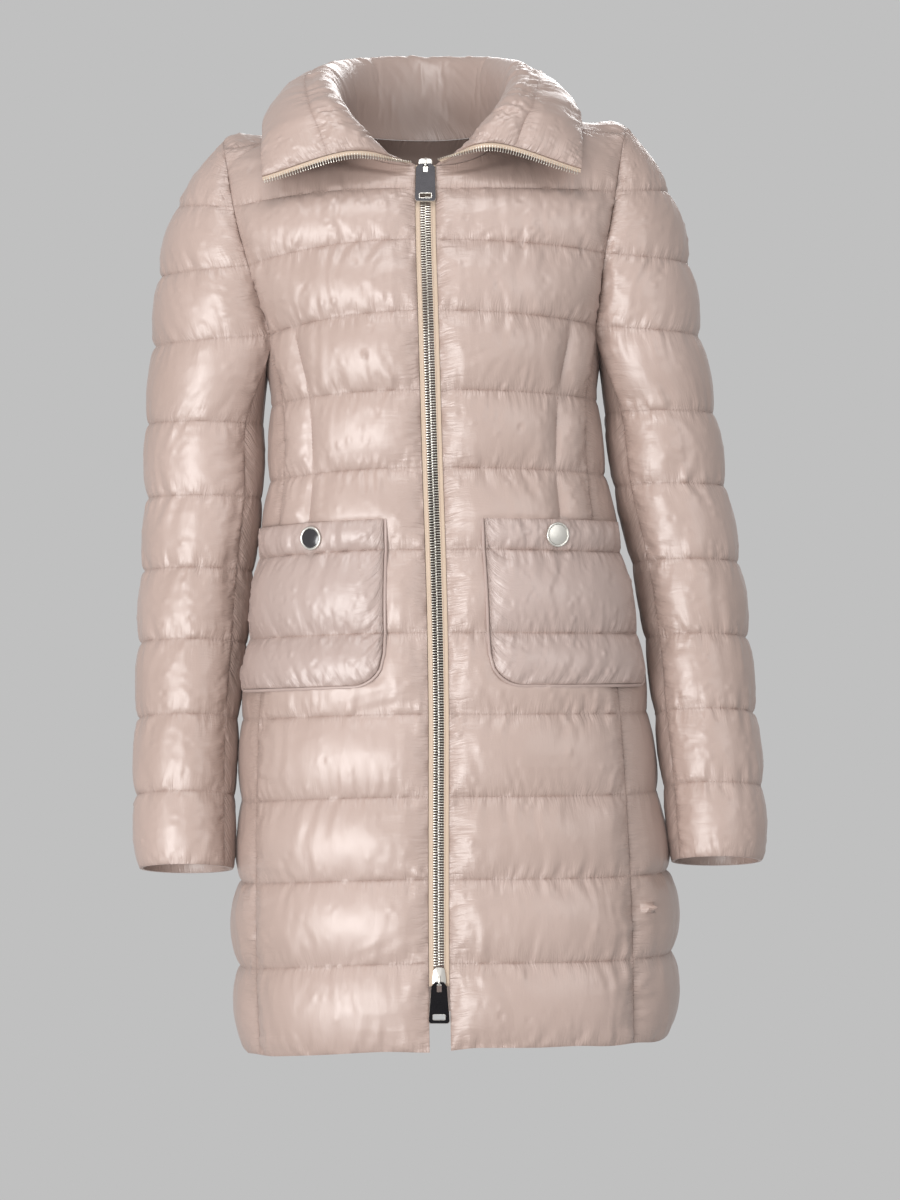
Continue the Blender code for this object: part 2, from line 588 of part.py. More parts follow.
def settle_corners(panels):
    """Give the pieces that meet at a corner one common normal."""
    meeting = {}
    for panel in panels.values():
        rows, columns = panel.grid.shape[:2]
        rim = [(0, c) for c in range(columns)] + [(rows - 1, c) for c in range(columns)]
        rim += [(r, 0) for r in range(1, rows - 1)] + [(r, columns - 1) for r in range(1, rows - 1)]
        for place in rim:
            key = tuple(np.round(panel.grid[place], 6))
            meeting.setdefault(key, []).append((panel, place))
    for members in meeting.values():
        if len(members) > 2:
            common = unit(sum(panel.normals[place] for panel, place in members))
            for panel, place in members:
                panel.normals[place] = common


def shaping_seams(panels):
    """The short stitched line down each front, from the bust to the pocket."""
    column = FRONT_STEPS.index(SHAPING_SHARE)
    numbers = levels(0, TOP_ROW)
    for side in SIDES:
        rows = (numbers > POCKET_ROWS[1]) & (numbers < BUST_ROW)
        panels["front_" + side].puff[rows, column] *= SHAPING_PUFF


# ---- pockets ------------------------------------------------------------------------------------
POCKET_WALL = 0.0026
POCKET_PUFF = 0.0040
PIPING_RADIUS = 0.0016


def pocket_points(panels, side):
    """Base points, normals and puff of the part of the body that lies under a pocket."""
    front, flank = panels["front_" + side], panels["side_" + side]
    numbers = levels(0, TOP_ROW)
    low, high = (int(np.argmin(np.abs(numbers - row))) for row in POCKET_ROWS)
    start = FRONT_STEPS.index(POCKET_SHARE)
    rows = slice(low, high + 1)
    grid = np.concatenate([front.grid[rows, start:], flank.grid[rows, 1:2]], axis=1)
    normals = np.concatenate([front.normals[rows, start:], flank.normals[rows, 1:2]], axis=1)
    puff = rise(numbers[rows])
    for column in (0, -1):
        neighbour = 1 if column == 0 else -2
        grid[0, column] = (2 * grid[0, column] + grid[1, column] + grid[0, neighbour]) / 4
    return grid, normals, puff[:, None, None]


def build_pocket(panels, side, cloth, cord):
    """A quilted patch over the body and the corded piping round its sides and bottom."""
    grid, normals, puff = pocket_points(panels, side)
    under = grid + normals * (SEAM_WALL / 2 + PUFF_OUT * puff + LAY_GAP)
    edge_quiet = np.ones(grid.shape[:2] + (1,))
    edge_quiet[0] = edge_quiet[-1] = edge_quiet[:, 0] = edge_quiet[:, -1] = 0
    outer = under + normals * (POCKET_WALL + POCKET_PUFF * puff * edge_quiet)
    add_object("pocket_" + side, *wall_mesh(outer, under), cloth)
    middle = (outer + under) / 2
    rim = np.concatenate([middle[:0:-1, 0], middle[0], middle[1:, -1]])
    rim_normals = np.concatenate([normals[:0:-1, 0], normals[0], normals[1:, -1]])
    tangent = unit(np.gradient(rim, axis=0))
    outward = unit(np.cross(tangent, rim_normals))
    outward *= np.sign(np.sum(outward * (rim - grid.mean(axis=(0, 1))), axis=1, keepdims=True))
    path = rim + outward * (PIPING_RADIUS + 2 * SEAM_GAP) + rim_normals * PIPING_RADIUS / 2
    add_object("piping_" + side, *tube_mesh(path, outward, rim_normals, PIPING_RADIUS), cord)
    return outer, normals


def tube_mesh(path, across, upward, radius, sides=6):
    """A closed tube with flat ends along a path of points."""
    turn = np.arange(sides) * 2 * math.pi / sides
    circle = (np.cos(turn)[:, None] * across[:, None] + np.sin(turn)[:, None] * upward[:, None])
    points = (path[:, None] + radius * circle).reshape(-1, 3)
    number = np.arange(len(points)).reshape(-1, sides)
    faces = []
    for here, after in zip(number[:-1], number[1:]):
        for k in range(sides):
            nxt = (k + 1) % sides
            faces.append([int(here[k]), int(here[nxt]), int(after[nxt]), int(after[k])])
    for ring in (number[0, ::-1], number[-1]):
        faces += [[int(ring[0]), int(ring[k]), int(ring[k + 1])] for k in range(1, sides - 1)]
    return points, faces


def turned(profile, centre, axis, sides=24):
    """A solid turned about an axis from (radius, height) points that start and end on it."""
    axis = unit(np.array(axis))
    first = unit(np.cross(axis, (0.0, 0.0, 1.0)))
    second = np.cross(axis, first)
    turn = np.arange(sides) * 2 * math.pi / sides
    spokes = np.cos(turn)[:, None] * first + np.sin(turn)[:, None] * second
    points = [centre + axis * profile[0][1]]
    for radius, height in profile[1:-1]:
        points += list(centre + axis * height + radius * spokes)
    points.append(centre + axis * profile[-1][1])
    last, rings = len(points) - 1, len(profile) - 2
    faces = []
    for k in range(sides):
        nxt = (k + 1) % sides
        faces.append([0, 1 + nxt, 1 + k])
        for ring in range(rings - 1):
            low, high = 1 + ring * sides, 1 + (ring + 1) * sides
            faces.append([low + k, low + nxt, high + nxt, high + k])
        top = 1 + (rings - 1) * sides
        faces.append([last, top + k, top + nxt])
    return np.array(points), faces


BUTTON_RADIUS = {"right": 0.0107, "left": 0.0112}
BUTTON_CAP = 0.0030
BUTTON_STEM = 0.0040
BUTTON_STAND = 0.0030      # from the pocket to the back of the cap


def build_button(side, outer, normals, finish):
    """A snap button: a domed cap on a short stem, on the pocket's upper seam."""
    row, column = -2, 2
    corners = outer[row:, column:column + 2]
    centre = corners.reshape(-1, 3).mean(axis=0)
    axis = unit(np.cross(corners[1, 1] - corners[0, 0], corners[1, 0] - corners[0, 1]))
    axis = axis * np.sign(axis @ normals[row, column])
    radius = BUTTON_RADIUS[side]
    back = BUTTON_STAND
    profile = ((0, SEAM_GAP), (BUTTON_STEM, SEAM_GAP), (BUTTON_STEM, back), (radius * 0.93, back),
               (radius, back + BUTTON_CAP * 0.3), (radius * 0.97, back + BUTTON_CAP * 0.75),
               (radius * 0.80, back + BUTTON_CAP), (0, back + BUTTON_CAP * 0.9))
    add_object("button_" + side, *turned(profile, centre, axis), finish)


# ---- zip ----------------------------------------------------------------------------------------
TAPE_WALL = 0.0011
TAPE_INNER = 0.0048        # from the middle of the zip to a tape's inner edge
CHAIN_WALL = 0.0026
TAPE_START_ROW = 2         # facet row where the tapes end above the hem
CHAIN_ENDS = (-0.7498, -0.0462)   # levels of the closed teeth's ends, just clear of the sliders
COLLAR_TAPE = 0.0062       # width of the tape and its teeth along the collar


def strip(name, first, last, normals, wall, finish):
    """A flat closed strip between two lines of points."""
    grid = np.stack([first, last], axis=1)
    lift = normals[:, None] * wall / 2
    add_object(name, *wall_mesh(grid + lift, grid - lift), finish)


def build_zip(panels, tape, metal):
    """The centre-front tapes and chain, and the tapes along the collar's front edges."""
    right, left = panels["front_right"], panels["front_left"]
    centre = (right.grid[:, 0] + left.grid[:, 0]) / 2
    normals = unit((right.normals[:, 0] + left.normals[:, 0]) * (0, 1, 1))
    rows = slice(TAPE_START_ROW, None)
    for side, sign in SIDES.items():
        towards = np.array((sign, 0, 0))
        outer = centre + towards * (ZIP_HALF - SEAM_GAP)
        inner = centre + towards * TAPE_INNER
        strip("zip_tape_" + side, outer[rows], inner[rows], normals[rows], TAPE_WALL, tape)
        column = -1 if side == "left" else 0
        collar = panels["collar"]
        edge, neighbour = collar.grid[:, column], collar.grid[:, 1 if column == 0 else -2]
        tangent = unit(np.gradient(edge, axis=0))
        away = unit(np.cross(tangent, collar.normals[:, column]))
        away *= np.sign(np.sum(away * (edge - neighbour), axis=1, keepdims=True))
        part = slice(1, None)
        near, far = edge + away * 3 * SEAM_GAP, edge + away * COLLAR_TAPE
        strip("collar_tape_" + side, near[part], far[part], collar.normals[part, column], TAPE_WALL, tape)
    level = centre[:, 2]
    lowest, highest = CHAIN_ENDS
    inside = (level > lowest + 0.002) & (level < highest - 0.002)
    ends = [np.array([np.interp(z, level, centre[:, k]) for k in range(3)]) for z in (lowest, highest)]
    line = np.concatenate([[ends[0]], centre[inside], [ends[1]]])
    picked = normals[inside]
    line_normals = np.concatenate([picked[:1], picked, picked[-1:]])
    half = np.array((CHAIN_HALF - SEAM_GAP, 0, 0))
    strip("zip_chain", line - half, line + half, line_normals, CHAIN_WALL, metal)
    return centre, normals


def prism(outline, half, hole=None):
    """A flat plate of the given outline in (side, up), or a frame round a hole of equal count."""
    outline = np.array(outline, float)
    count = len(outline)
    front = np.column_stack([outline[:, 0], np.full(count, half), outline[:, 1]])
    back = front * (1, -1, 1)
    if hole is None:
        points = np.concatenate([front, back])
        faces = [list(range(count)), list(range(2 * count - 1, count - 1, -1))]
        faces += [[k, k + count, (k + 1) % count + count, (k + 1) % count] for k in range(count)]
        return points, faces
    hole = np.array(hole, float)
    inner = np.column_stack([hole[:, 0], np.full(count, half), hole[:, 1]])
    points = np.concatenate([front, back, inner, inner * (1, -1, 1)])
    faces = []
    for k in range(count):
        n = (k + 1) % count
        faces.append([k, n, 2 * count + n, 2 * count + k])
        faces.append([count + n, count + k, 3 * count + k, 3 * count + n])
        faces.append([n, k, count + k, count + n])
        faces.append([2 * count + k, 2 * count + n, 3 * count + n, 3 * count + k])
    return points, faces


PLATE_HALF_X = 0.0065
PLATE_FRONT, PLATE_BACK = 0.0013, 0.0011
PLATE_GAP = 0.0004
WEB_HALF_X = 0.0018
BAIL_HALF_X = 0.0012
BAIL_OPENING = 0.0022      # from the front plate to the inside of the bail
BAIL_HALF_INSIDE, BAIL_HALF_OUTSIDE = 0.0034, 0.0046
BAIL_WALL = 0.0010
BAR_HALF = 0.00075         # the pull's cross bar, round the hinge axis
BAR_DROP = 0.0023          # of the hanging bar, below the middle of the bail
PULL_HALF_X = 0.0093
PULL_LENGTH = {"top": 0.0380, "bottom": 0.0355}
PULL_TOP_HALF_X = {"top": 0.0086, "bottom": 0.0070}
SLIDERS = {
    "top": {"z": -0.0375, "low": -0.0075, "high": 0.0075, "bail": 0.0030},
    "bottom": {"z": -0.7580, "low": -0.0085, "high": 0.0075, "bail": -0.0038},
}


def box_mesh(low, high):
    """Vertices and faces of a box between two corners."""
    low, high = np.array(low), np.array(high)
    corners = [[(low, high)[x][0], (low, high)[y][1], (low, high)[z][2]]
               for x in (0, 1) for y in (0, 1) for z in (0, 1)]
    faces = [[0, 1, 3, 2], [4, 6, 7, 5], [0, 4, 5, 1], [2, 3, 7, 6], [0, 2, 6, 4], [1, 5, 7, 3]]
    return np.array(corners), faces


def boolean(target, name, mesh, operation):
    """Unite a body with, or cut from it, a hidden guide of the given mesh."""
    guide = add_object(name, *mesh, target.active_material, smooth=False)
    guide.hide_render = True
    guide.display_type = "WIRE"
    guide.parent = target
    step = target.modifiers.new(name, "BOOLEAN")
    step.operation = operation
    step.solver = "EXACT"
    step.object = guide


def place_on_zip(centre, z):
    """Point of the zip's line at a level, and the lean of the line there."""
    level = centre[:, 2]
    point, above, below = (np.array([np.interp(h, level, centre[:, k]) for k in range(3)])
                           for h in (z, min(z + 0.01, level[-1]), z - 0.01))
    slope = above - below
    if z > level[-1]:
        point = point + unit(slope) * (z - level[-1])
    return point, -math.atan2(slope[1], slope[2])


def build_slider(name, centre, metal, dark):
    """A slider with its bail, and its pull on a bar through the bail."""
    size = SLIDERS[name]
    origin, lean = place_on_zip(centre, size["z"])
    low, high, bail = size["low"], size["high"], size["bail"]
    near = -(TAPE_WALL / 2 + PLATE_GAP)
    front = near - PLATE_FRONT
    front_plate = box_mesh((-PLATE_HALF_X, front, low), (PLATE_HALF_X, near, high))
    slider = add_object("slider_" + name, *front_plate, metal, smooth=False)
    slider.location = origin
    slider.rotation_euler = (lean, 0, 0)
    web = box_mesh((-WEB_HALF_X, near - 0.0003, low * 0.7), (WEB_HALF_X, -near + 0.0003, high * 0.7))
    boolean(slider, "web_" + name, web, "UNION")
    back = box_mesh((-PLATE_HALF_X, -near, low), (PLATE_HALF_X, -near + PLATE_BACK, high))
    boolean(slider, "back_plate_" + name, back, "UNION")
    outside = front - BAIL_OPENING - BAIL_WALL
    arch = [(front + 0.0004, bail - BAIL_HALF_OUTSIDE), (outside + 0.0006, bail - BAIL_HALF_OUTSIDE),
            (outside, bail - BAIL_HALF_INSIDE), (outside, bail + BAIL_HALF_INSIDE),
            (outside + 0.0006, bail + BAIL_HALF_OUTSIDE), (front + 0.0004, bail + BAIL_HALF_OUTSIDE),
            (front + 0.0004, bail + BAIL_HALF_INSIDE), (outside + BAIL_WALL, bail + BAIL_HALF_INSIDE),
            (outside + BAIL_WALL, bail - BAIL_HALF_INSIDE), (front + 0.0004, bail - BAIL_HALF_INSIDE)]
    points, faces = prism([(y, z) for y, z in arch], BAIL_HALF_X)
    boolean(slider, "bail_" + name, (points[:, [1, 0, 2]], faces), "UNION")

    axis = bpy.data.objects.new("axis_" + name, None)
    bpy.context.scene.collection.objects.link(axis)
    local = np.array((0.0, front - BAIL_OPENING / 2, bail - BAR_DROP))
    cosine, sine = math.cos(lean), math.sin(lean)
    axis.location = origin + (0, local[1] * cosine - local[2] * sine,
                              local[1] * sine + local[2] * cosine)
    axis.rotation_euler = (lean, 0, 0)
    length, shoulder = PULL_LENGTH[name], PULL_TOP_HALF_X[name]
    half = [(shoulder * 0.55, BAR_HALF), (shoulder, -0.003), (PULL_HALF_X, -length + 0.002),
            (PULL_HALF_X - 0.0015, -length)]
    outline = half + [(-x, z) for x, z in half[::-1]]
    slot = [(0.0012, -BAR_HALF), (0.0021, -BAR_HALF - 0.0006), (0.0021, -0.0074), (0.0014, -0.0080)]
    slot += [(-x, z) for x, z in slot[::-1]]
    points, faces = prism(outline, BAR_HALF, slot)
    pull = add_object("pull_" + name, points, faces, dark, smooth=False)
    pull.parent = axis
    low_edge = -length + 0.0030
    window = box_mesh((-0.0055, -0.003, low_edge), (0.0055, 0.003, low_edge + 0.0050))
    boolean(pull, "window_" + name, window, "DIFFERENCE")


# ---- assembly -----------------------------------------------------------------------------------
def main():
    """Clear the file and build the coat."""
    for thing in list(bpy.data.objects):
        bpy.data.objects.remove(thing)
    cloth = material("quilted nylon", CLOTH, 0.38)
    shade = material("pocket nylon", CLOTH_SHADE, 0.42)
    cord = material("piping", CLOTH_SHADE, 0.45)
    tape = material("zip tape", TAPE, 0.75)
    metal = material("zip metal", METAL, 0.28, 1.0)
    dark = material("pull metal", GUNMETAL, 0.25, 1.0)
    enamel = material("button enamel", ENAMEL, 0.12)
    silver = material("button silver", PALE_SILVER, 0.25, 1.0)
    panels = build_body()
    build_sleeves(panels)
    build_collar(panels)
    sew_everything(panels)
    settle_corners(panels)
    shaping_seams(panels)
    for panel in panels.values():
        add_panel(panel, cloth)
    for side, face in (("right", enamel), ("left", silver)):
        outer, normals = build_pocket(panels, side, shade, cord)
        build_button(side, outer, normals, face)
    centre, _ = build_zip(panels, tape, metal)
    for name in SLIDERS:
        build_slider(name, centre, metal, dark)


main()
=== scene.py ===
"""Looks of a long puffer coat: quilted satin panels swollen by a cloth simulation, zip and trims.

Metres, +Z up, the front faces -Y and the wearer's left side is at +X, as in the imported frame. Each
quilted panel is a base surface lofted through its quilting rows. The fabric starts as that surface,
raised between the seams, is cut a little too large, and a cloth simulation blows it up between its
stitched lines, so that it puckers along them.
"""
import math

import bpy
import numpy as np
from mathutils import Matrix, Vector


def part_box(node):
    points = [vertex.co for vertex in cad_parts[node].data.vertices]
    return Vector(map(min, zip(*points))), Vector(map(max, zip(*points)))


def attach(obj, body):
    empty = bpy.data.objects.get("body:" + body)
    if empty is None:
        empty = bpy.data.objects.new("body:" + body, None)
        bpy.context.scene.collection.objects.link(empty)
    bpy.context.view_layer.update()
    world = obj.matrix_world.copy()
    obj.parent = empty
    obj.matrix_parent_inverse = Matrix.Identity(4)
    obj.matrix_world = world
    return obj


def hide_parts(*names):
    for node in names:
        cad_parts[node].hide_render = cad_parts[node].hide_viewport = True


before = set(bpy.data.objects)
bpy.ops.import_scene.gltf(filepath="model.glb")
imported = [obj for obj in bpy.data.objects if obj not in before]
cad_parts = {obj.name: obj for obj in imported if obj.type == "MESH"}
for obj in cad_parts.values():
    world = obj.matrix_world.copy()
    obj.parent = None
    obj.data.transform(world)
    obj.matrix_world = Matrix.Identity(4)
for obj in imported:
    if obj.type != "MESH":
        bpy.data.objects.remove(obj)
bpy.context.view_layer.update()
SEED = 11

# ---- camera -------------------------------------------------------------------------------------
CAMERA_PLACE = (0.0175, -3.5, -0.426)
HALF_VIEW = 0.552          # half the height of the view at the coat's middle, metres
SENSOR = 36.0              # millimetres, along the long side of the picture


def add_camera():
    """A long lens in front of the coat, level, a little below the height of its middle."""
    data = bpy.data.cameras.new("camera")
    data.sensor_width = SENSOR
    data.lens = SENSOR / 2 * -CAMERA_PLACE[1] / HALF_VIEW
    camera = bpy.data.objects.new("camera", data)
    camera.location = CAMERA_PLACE
    camera.rotation_euler = (math.pi / 2, 0, 0)
    bpy.context.scene.collection.objects.link(camera)
    bpy.context.scene.camera = camera


add_camera()

# ---- driving dimensions -------------------------------------------------------------------------
SEAM_GAP = 0.0003          # between two pieces that are sewn together
SEAM_WALL = 0.0030         # thickness of the quilt where it is stitched down
LOFT = 0.0062              # rise of the down on the shown side, midway between two seams
SLEEVE_LOFT = 0.0038       # the same on the sleeves
COLLAR_LOFT = 0.0046       # the same on the collar
BACK_LOFT = 0.0030         # the same on the hidden side
HEM_WAVE, HEM_WAVE_LENGTH = 0.0035, 0.045    # how far the hem strays up and down, and over what length
CONTACT_LOFT = 0.35        # share of the loft where a sleeve and the body lie side by side
ARMPIT_LOFT = 0.05         # the same in the fold under the arm
UNDER_COLLAR_LOFT = 0.30   # the same where the collar presses on the shoulders
UNDER_POCKET_LOFT = 0.42   # the same behind a pocket
SHAPING_LOFT = 0.20        # the same along the short shaping seam of a front
SQUARENESS = 2.5           # exponent of the rounded section of the body
ZIP_HALF = 0.0094          # from the middle of the zip to the edge of a front
UNDERARM_DIP = 0.016       # the armhole's lowest point, below its corners
NECK_SHARE = 0.44          # share of a panel's top row that belongs to the neckline
SHAPING_SHARE = 0.72       # place of the shaping seam across a front
POCKET_SHARE = 0.235       # place of a pocket's inner edge across a front
POCKET_ROWS = (4.37, 6.37)           # bottom and top of a pocket, in rows

# Quilting rows of the body from hem to bust: level at the zip; x of the zip, of the two side
# extremes and of the two front side seams; depths in front and behind; sag towards each side.
BODY_COLUMNS = ("name", "z", "zip_x", "right", "left", "front", "back",
                "seam_right", "seam_left", "sag_right", "sag_left")
BODY_ROWS = (
    ("hem", -0.822, 0.0090, -0.1680, 0.2140, 0.140, 0.146, -0.1520, 0.1810, 0.015, 0.003),
    ("lower skirt", -0.747, 0.0078, -0.1730, 0.2185, 0.140, 0.148, -0.1555, 0.1800, 0.013, 0.000),
    ("skirt", -0.673, 0.0075, -0.1720, 0.2140, 0.138, 0.148, -0.1555, 0.1780, 0.010, 0.000),
    ("upper skirt", -0.600, 0.0075, -0.1720, 0.2050, 0.136, 0.147, -0.1550, 0.1740, 0.009, 0.000),
    ("seat", -0.527, 0.0075, -0.1705, 0.1960, 0.134, 0.144, -0.1530, 0.1690, 0.008, 0.001),
    ("hip", -0.455, 0.0065, -0.1625, 0.1870, 0.130, 0.136, -0.1470, 0.1610, 0.007, 0.002),
    ("high hip", -0.381, 0.0045, -0.1540, 0.1720, 0.123, 0.122, -0.1390, 0.1500, 0.008, 0.003),
    ("waist", -0.308, 0.0020, -0.1455, 0.1570, 0.118, 0.110, -0.1310, 0.1400, 0.010, 0.004),
    ("under bust", -0.239, 0.0000, -0.1440, 0.1500, 0.124, 0.113, -0.1320, 0.1390, 0.010, 0.005),
    ("bust", -0.169, -0.0020, -0.1520, 0.1555, 0.126, 0.118, -0.1450, 0.1490, 0.018, 0.009),
)

# Rows above the bust: the middle of the front or back, then the armhole edge on each side.
CHEST_COLUMNS = ("name", "middle", "edge_right", "edge_left", "turn")
FRONT_UPPER = (
    ("chest", (-0.0040, -0.112, -0.105), (-0.1640, -0.066, -0.124), (0.1570, -0.066, -0.113), 62),
    ("yoke", (-0.0045, -0.097, -0.058), (-0.1780, -0.058, -0.071), (0.1670, -0.058, -0.057), 52),
)
BACK_UPPER = (
    ("chest", (-0.0020, 0.118, -0.105), (-0.1650, 0.066, -0.124), (0.1580, 0.066, -0.113), 62),
    ("yoke", (-0.0030, 0.107, -0.058), (-0.1800, 0.048, -0.068), (0.1690, 0.048, -0.054), 58),
)
THROAT = (-0.0045, -0.088, -0.036)
NAPE = (-0.0040, 0.080, 0.006)
RIDGE_MIDDLE = (-0.0040, 0.092, -0.022)
NECK_POINT = {"right": (-0.080, -0.022, 0.003), "left": (0.068, -0.022, 0.010)}
RIDGE_NECK = {"right": (-0.088, 0.010, 0.006), "left": (0.076, 0.010, 0.013)}
RIDGE_TIP = {"right": (-0.1895, 0.000, -0.0095), "left": (0.1780, 0.000, 0.0035)}
SHOULDER_TIP = {"right": (-0.1875, -0.035, -0.017), "left": (0.1755, -0.035, -0.003)}

# Sleeve rows: level on the sleeve's axis; x of the outer and of the inner side; half depth; y of
# the axis; fall of the ring's plane per metre towards the back; angle of the front seam.
SLEEVE_COLUMNS = ("name", "z", "outer", "inner", "depth", "axis_y", "fall", "seam")
SLEEVE_ROWS = {
    "right": (
        ("cap", -0.066, -0.2320, -0.1380, 0.059, -0.002, 0.00, 0),
        ("upper cap", -0.132, -0.2490, -0.1440, 0.063, 0.000, 0.00, 20),
        ("armpit", -0.196, -0.2570, -0.1540, 0.062, 0.001, 0.00, 46),
        ("biceps", -0.265, -0.2576, -0.1560, 0.058, 0.002, 0.02, 48),
        ("above elbow", -0.333, -0.2580, -0.1580, 0.055, 0.002, 0.04, 48),
        ("elbow", -0.400, -0.2613, -0.1660, 0.053, 0.000, 0.07, 48),
        ("forearm", -0.466, -0.2640, -0.1715, 0.051, -0.005, 0.10, 50),
        ("low forearm", -0.535, -0.2650, -0.1790, 0.049, -0.012, 0.13, 53),
        ("wrist", -0.605, -0.2668, -0.1815, 0.047, -0.021, 0.15, 56),
        ("cuff", -0.671, -0.2640, -0.1820, 0.046, -0.030, 0.16, 58),
    ),
    "left": (
        ("cap", -0.052, 0.2170, 0.1260, 0.059, -0.002, 0.00, 0),
        ("upper cap", -0.120, 0.2380, 0.1380, 0.063, 0.000, 0.00, 20),
        ("armpit", -0.186, 0.2490, 0.1570, 0.062, 0.001, 0.00, 46),
        ("biceps", -0.255, 0.2576, 0.1620, 0.058, 0.002, 0.02, 48),
        ("above elbow", -0.322, 0.2677, 0.1710, 0.055, 0.002, 0.04, 48),
        ("elbow", -0.392, 0.2797, 0.1870, 0.053, 0.000, 0.07, 48),
        ("forearm", -0.461, 0.2870, 0.1990, 0.051, -0.005, 0.10, 50),
        ("low forearm", -0.530, 0.2930, 0.2070, 0.049, -0.012, 0.13, 53),
        ("wrist", -0.597, 0.3000, 0.2150, 0.047, -0.021, 0.15, 56),
        ("cuff", -0.664, 0.3000, 0.2210, 0.046, -0.030, 0.16, 58),
    ),
}

# Collar stations from the front edge to the middle of the back, on the wearer's right: crest of
# the roll and free edge. The left side is their mirror, lifted a little.
COLLAR_COLUMNS = ("name", "crest", "edge")
COLLAR_STATIONS = (
    ("front edge", (-0.070, -0.116, -0.026), (-0.150, -0.103, -0.048)),
    ("front", (-0.080, -0.115, -0.004), (-0.151, -0.095, -0.033)),
    ("front corner", (-0.093, -0.099, 0.021), (-0.151, -0.078, -0.012)),
    ("shoulder", (-0.100, -0.026, 0.058), (-0.147, -0.020, 0.018)),
    ("back corner", (-0.072, 0.068, 0.080), (-0.104, 0.094, 0.030)),
    ("back", (-0.0078, 0.098, 0.086), (-0.0078, 0.130, 0.034)),
)
COLLAR_MIRROR_X = -0.0078
COLLAR_LIFT_LEFT = 0.007
COLLAR_CREST_AT = 0.42     # share of the collar's height at the crest
COLLAR_SEAM_AT = 0.59      # share of the collar's height at its quilting seam
COLLAR_NECK_STATIONS = ((0, 1, 2, 3), (0.0, 0.105, 0.235, NECK_SHARE))
COLLAR_BACK_STATIONS = ((3, 3.67, 4.33, 5), (NECK_SHARE, 0.30, 0.15, 0.0))

SIDES = {"right": -1.0, "left": 1.0}
TOP_ROW = len(BODY_ROWS) + len(FRONT_UPPER)          # the fronts' shoulder and neck row
BUST_ROW = len(BODY_ROWS) - 1
RIDGE_ROW = TOP_ROW                                  # of the back, whose top row is one further
BACK_TOP_ROW = TOP_ROW + 1
CAP_ROWS = TOP_ROW - BUST_ROW                        # sleeve rows along the armhole

# Sampling of the simulated fabric.
BAFFLE_ROWS = 15           # rows of fabric between two quilting seams
ROLL_ROWS = 14             # of the back, over the shoulder
FABRIC_STEP = 0.0040       # between two columns of fabric
FRONT_WIDTH, HALF_BACK_WIDTH, FLANK_WIDTH, ARM_WIDTH = 0.175, 0.194, 0.12, 0.25    # set the columns
CURVE_STEPS = 200          # points of a finely drawn curve
COLLAR_LINES = (24, 16)    # lines of fabric below and above the collar's quilting seam
COLLAR_SHARE, COLLAR_RISE = 0.75, 0.35    # share of the collar's loft, full from this row number
SLEEVE_CAP_LOFT = (0.4, 0.8, 1.0)         # shares at the sleeve's first three rows
TREMBLE = 0.0004           # uneven start of the fabric, so that it buckles unevenly
EDGE_REACH = 0.022         # from a side edge to the full loft


# ---- small tools --------------------------------------------------------------------------------
def named(columns, rows):
    """Turn a table into one dictionary for each row."""
    return [dict(zip(columns, row)) for row in rows]


BODY = named(BODY_COLUMNS, BODY_ROWS)


def unit(vectors):
    """Scale vectors to length one."""
    length = np.linalg.norm(vectors, axis=-1, keepdims=True)
    return vectors / np.maximum(length, 1e-12)


def through(rows, at):
    """Cardinal spline through rows of points, read at fractional row numbers."""
    rows = np.asarray(rows, float)
    at = np.asarray(at, float)
    last = len(rows) - 1
    low = np.clip(np.floor(at).astype(int), 0, last - 1)
    share = (at - low).reshape((-1,) + (1,) * (rows.ndim - 1))
    start, end = rows[low], rows[low + 1]
    before = np.where((low > 0).reshape(share.shape), rows[low - 1], 2 * start - end)
    after = np.where((low < last - 1).reshape(share.shape), rows[np.minimum(low + 2, last)], 2 * end - start)
    leave = (end - before) / 2
    arrive = (after - start) / 2
    square, cube = share ** 2, share ** 3
    return (start * (2 * cube - 3 * square + 1) + end * (3 * square - 2 * cube)
            + leave * (cube - 2 * square + share) + arrive * (cube - square))


def even(curve, shares):
    """Points at the given shares of a finely drawn curve's length."""
    steps = np.linalg.norm(np.diff(curve, axis=0), axis=1)
    along = np.concatenate([[0.0], np.cumsum(steps)])
    along /= along[-1]
    return np.stack([np.interp(shares, along, curve[:, k]) for k in range(3)], axis=1)


def rounded(angle, power=SQUARENESS):
    """Sine and cosine of a rounded square: a superellipse of the given exponent."""
    sine, cosine = np.sin(angle), np.cos(angle)
    grow = 2.0 / power
    return np.sign(sine) * np.abs(sine) ** grow, np.sign(cosine) * np.abs(cosine) ** grow


def body_ring(row, angle):
    """Point of a body row at an angle from the middle front, turning towards the left side."""
    centre = (row["left"] + row["right"]) / 2
    half = (row["left"] - row["right"]) / 2
    sine, cosine = rounded(angle)
    depth = np.where(cosine > 0, row["front"], row["back"])
    sag = np.where(sine < 0, row["sag_right"], row["sag_left"])
    return np.stack([centre + half * sine, -depth * cosine, row["z"] - sag * sine ** 2], axis=-1)


def ring_angle(row, x):
    """Angle at which a body row's front passes x."""
    centre = (row["left"] + row["right"]) / 2
    half = (row["left"] - row["right"]) / 2
    share = (x - centre) / half
    return math.copysign(math.asin(abs(share) ** (SQUARENESS / 2)), share)


def seam_angles(row, side):
    """Angles of the zip edge, the front side seam and the back side seam of a body row."""
    zip_edge = ring_angle(row, row["zip_x"] + SIDES[side] * ZIP_HALF)
    front_seam = ring_angle(row, row["seam_" + side])
    back_seam = SIDES[side] * math.pi - front_seam
    return zip_edge, front_seam, back_seam


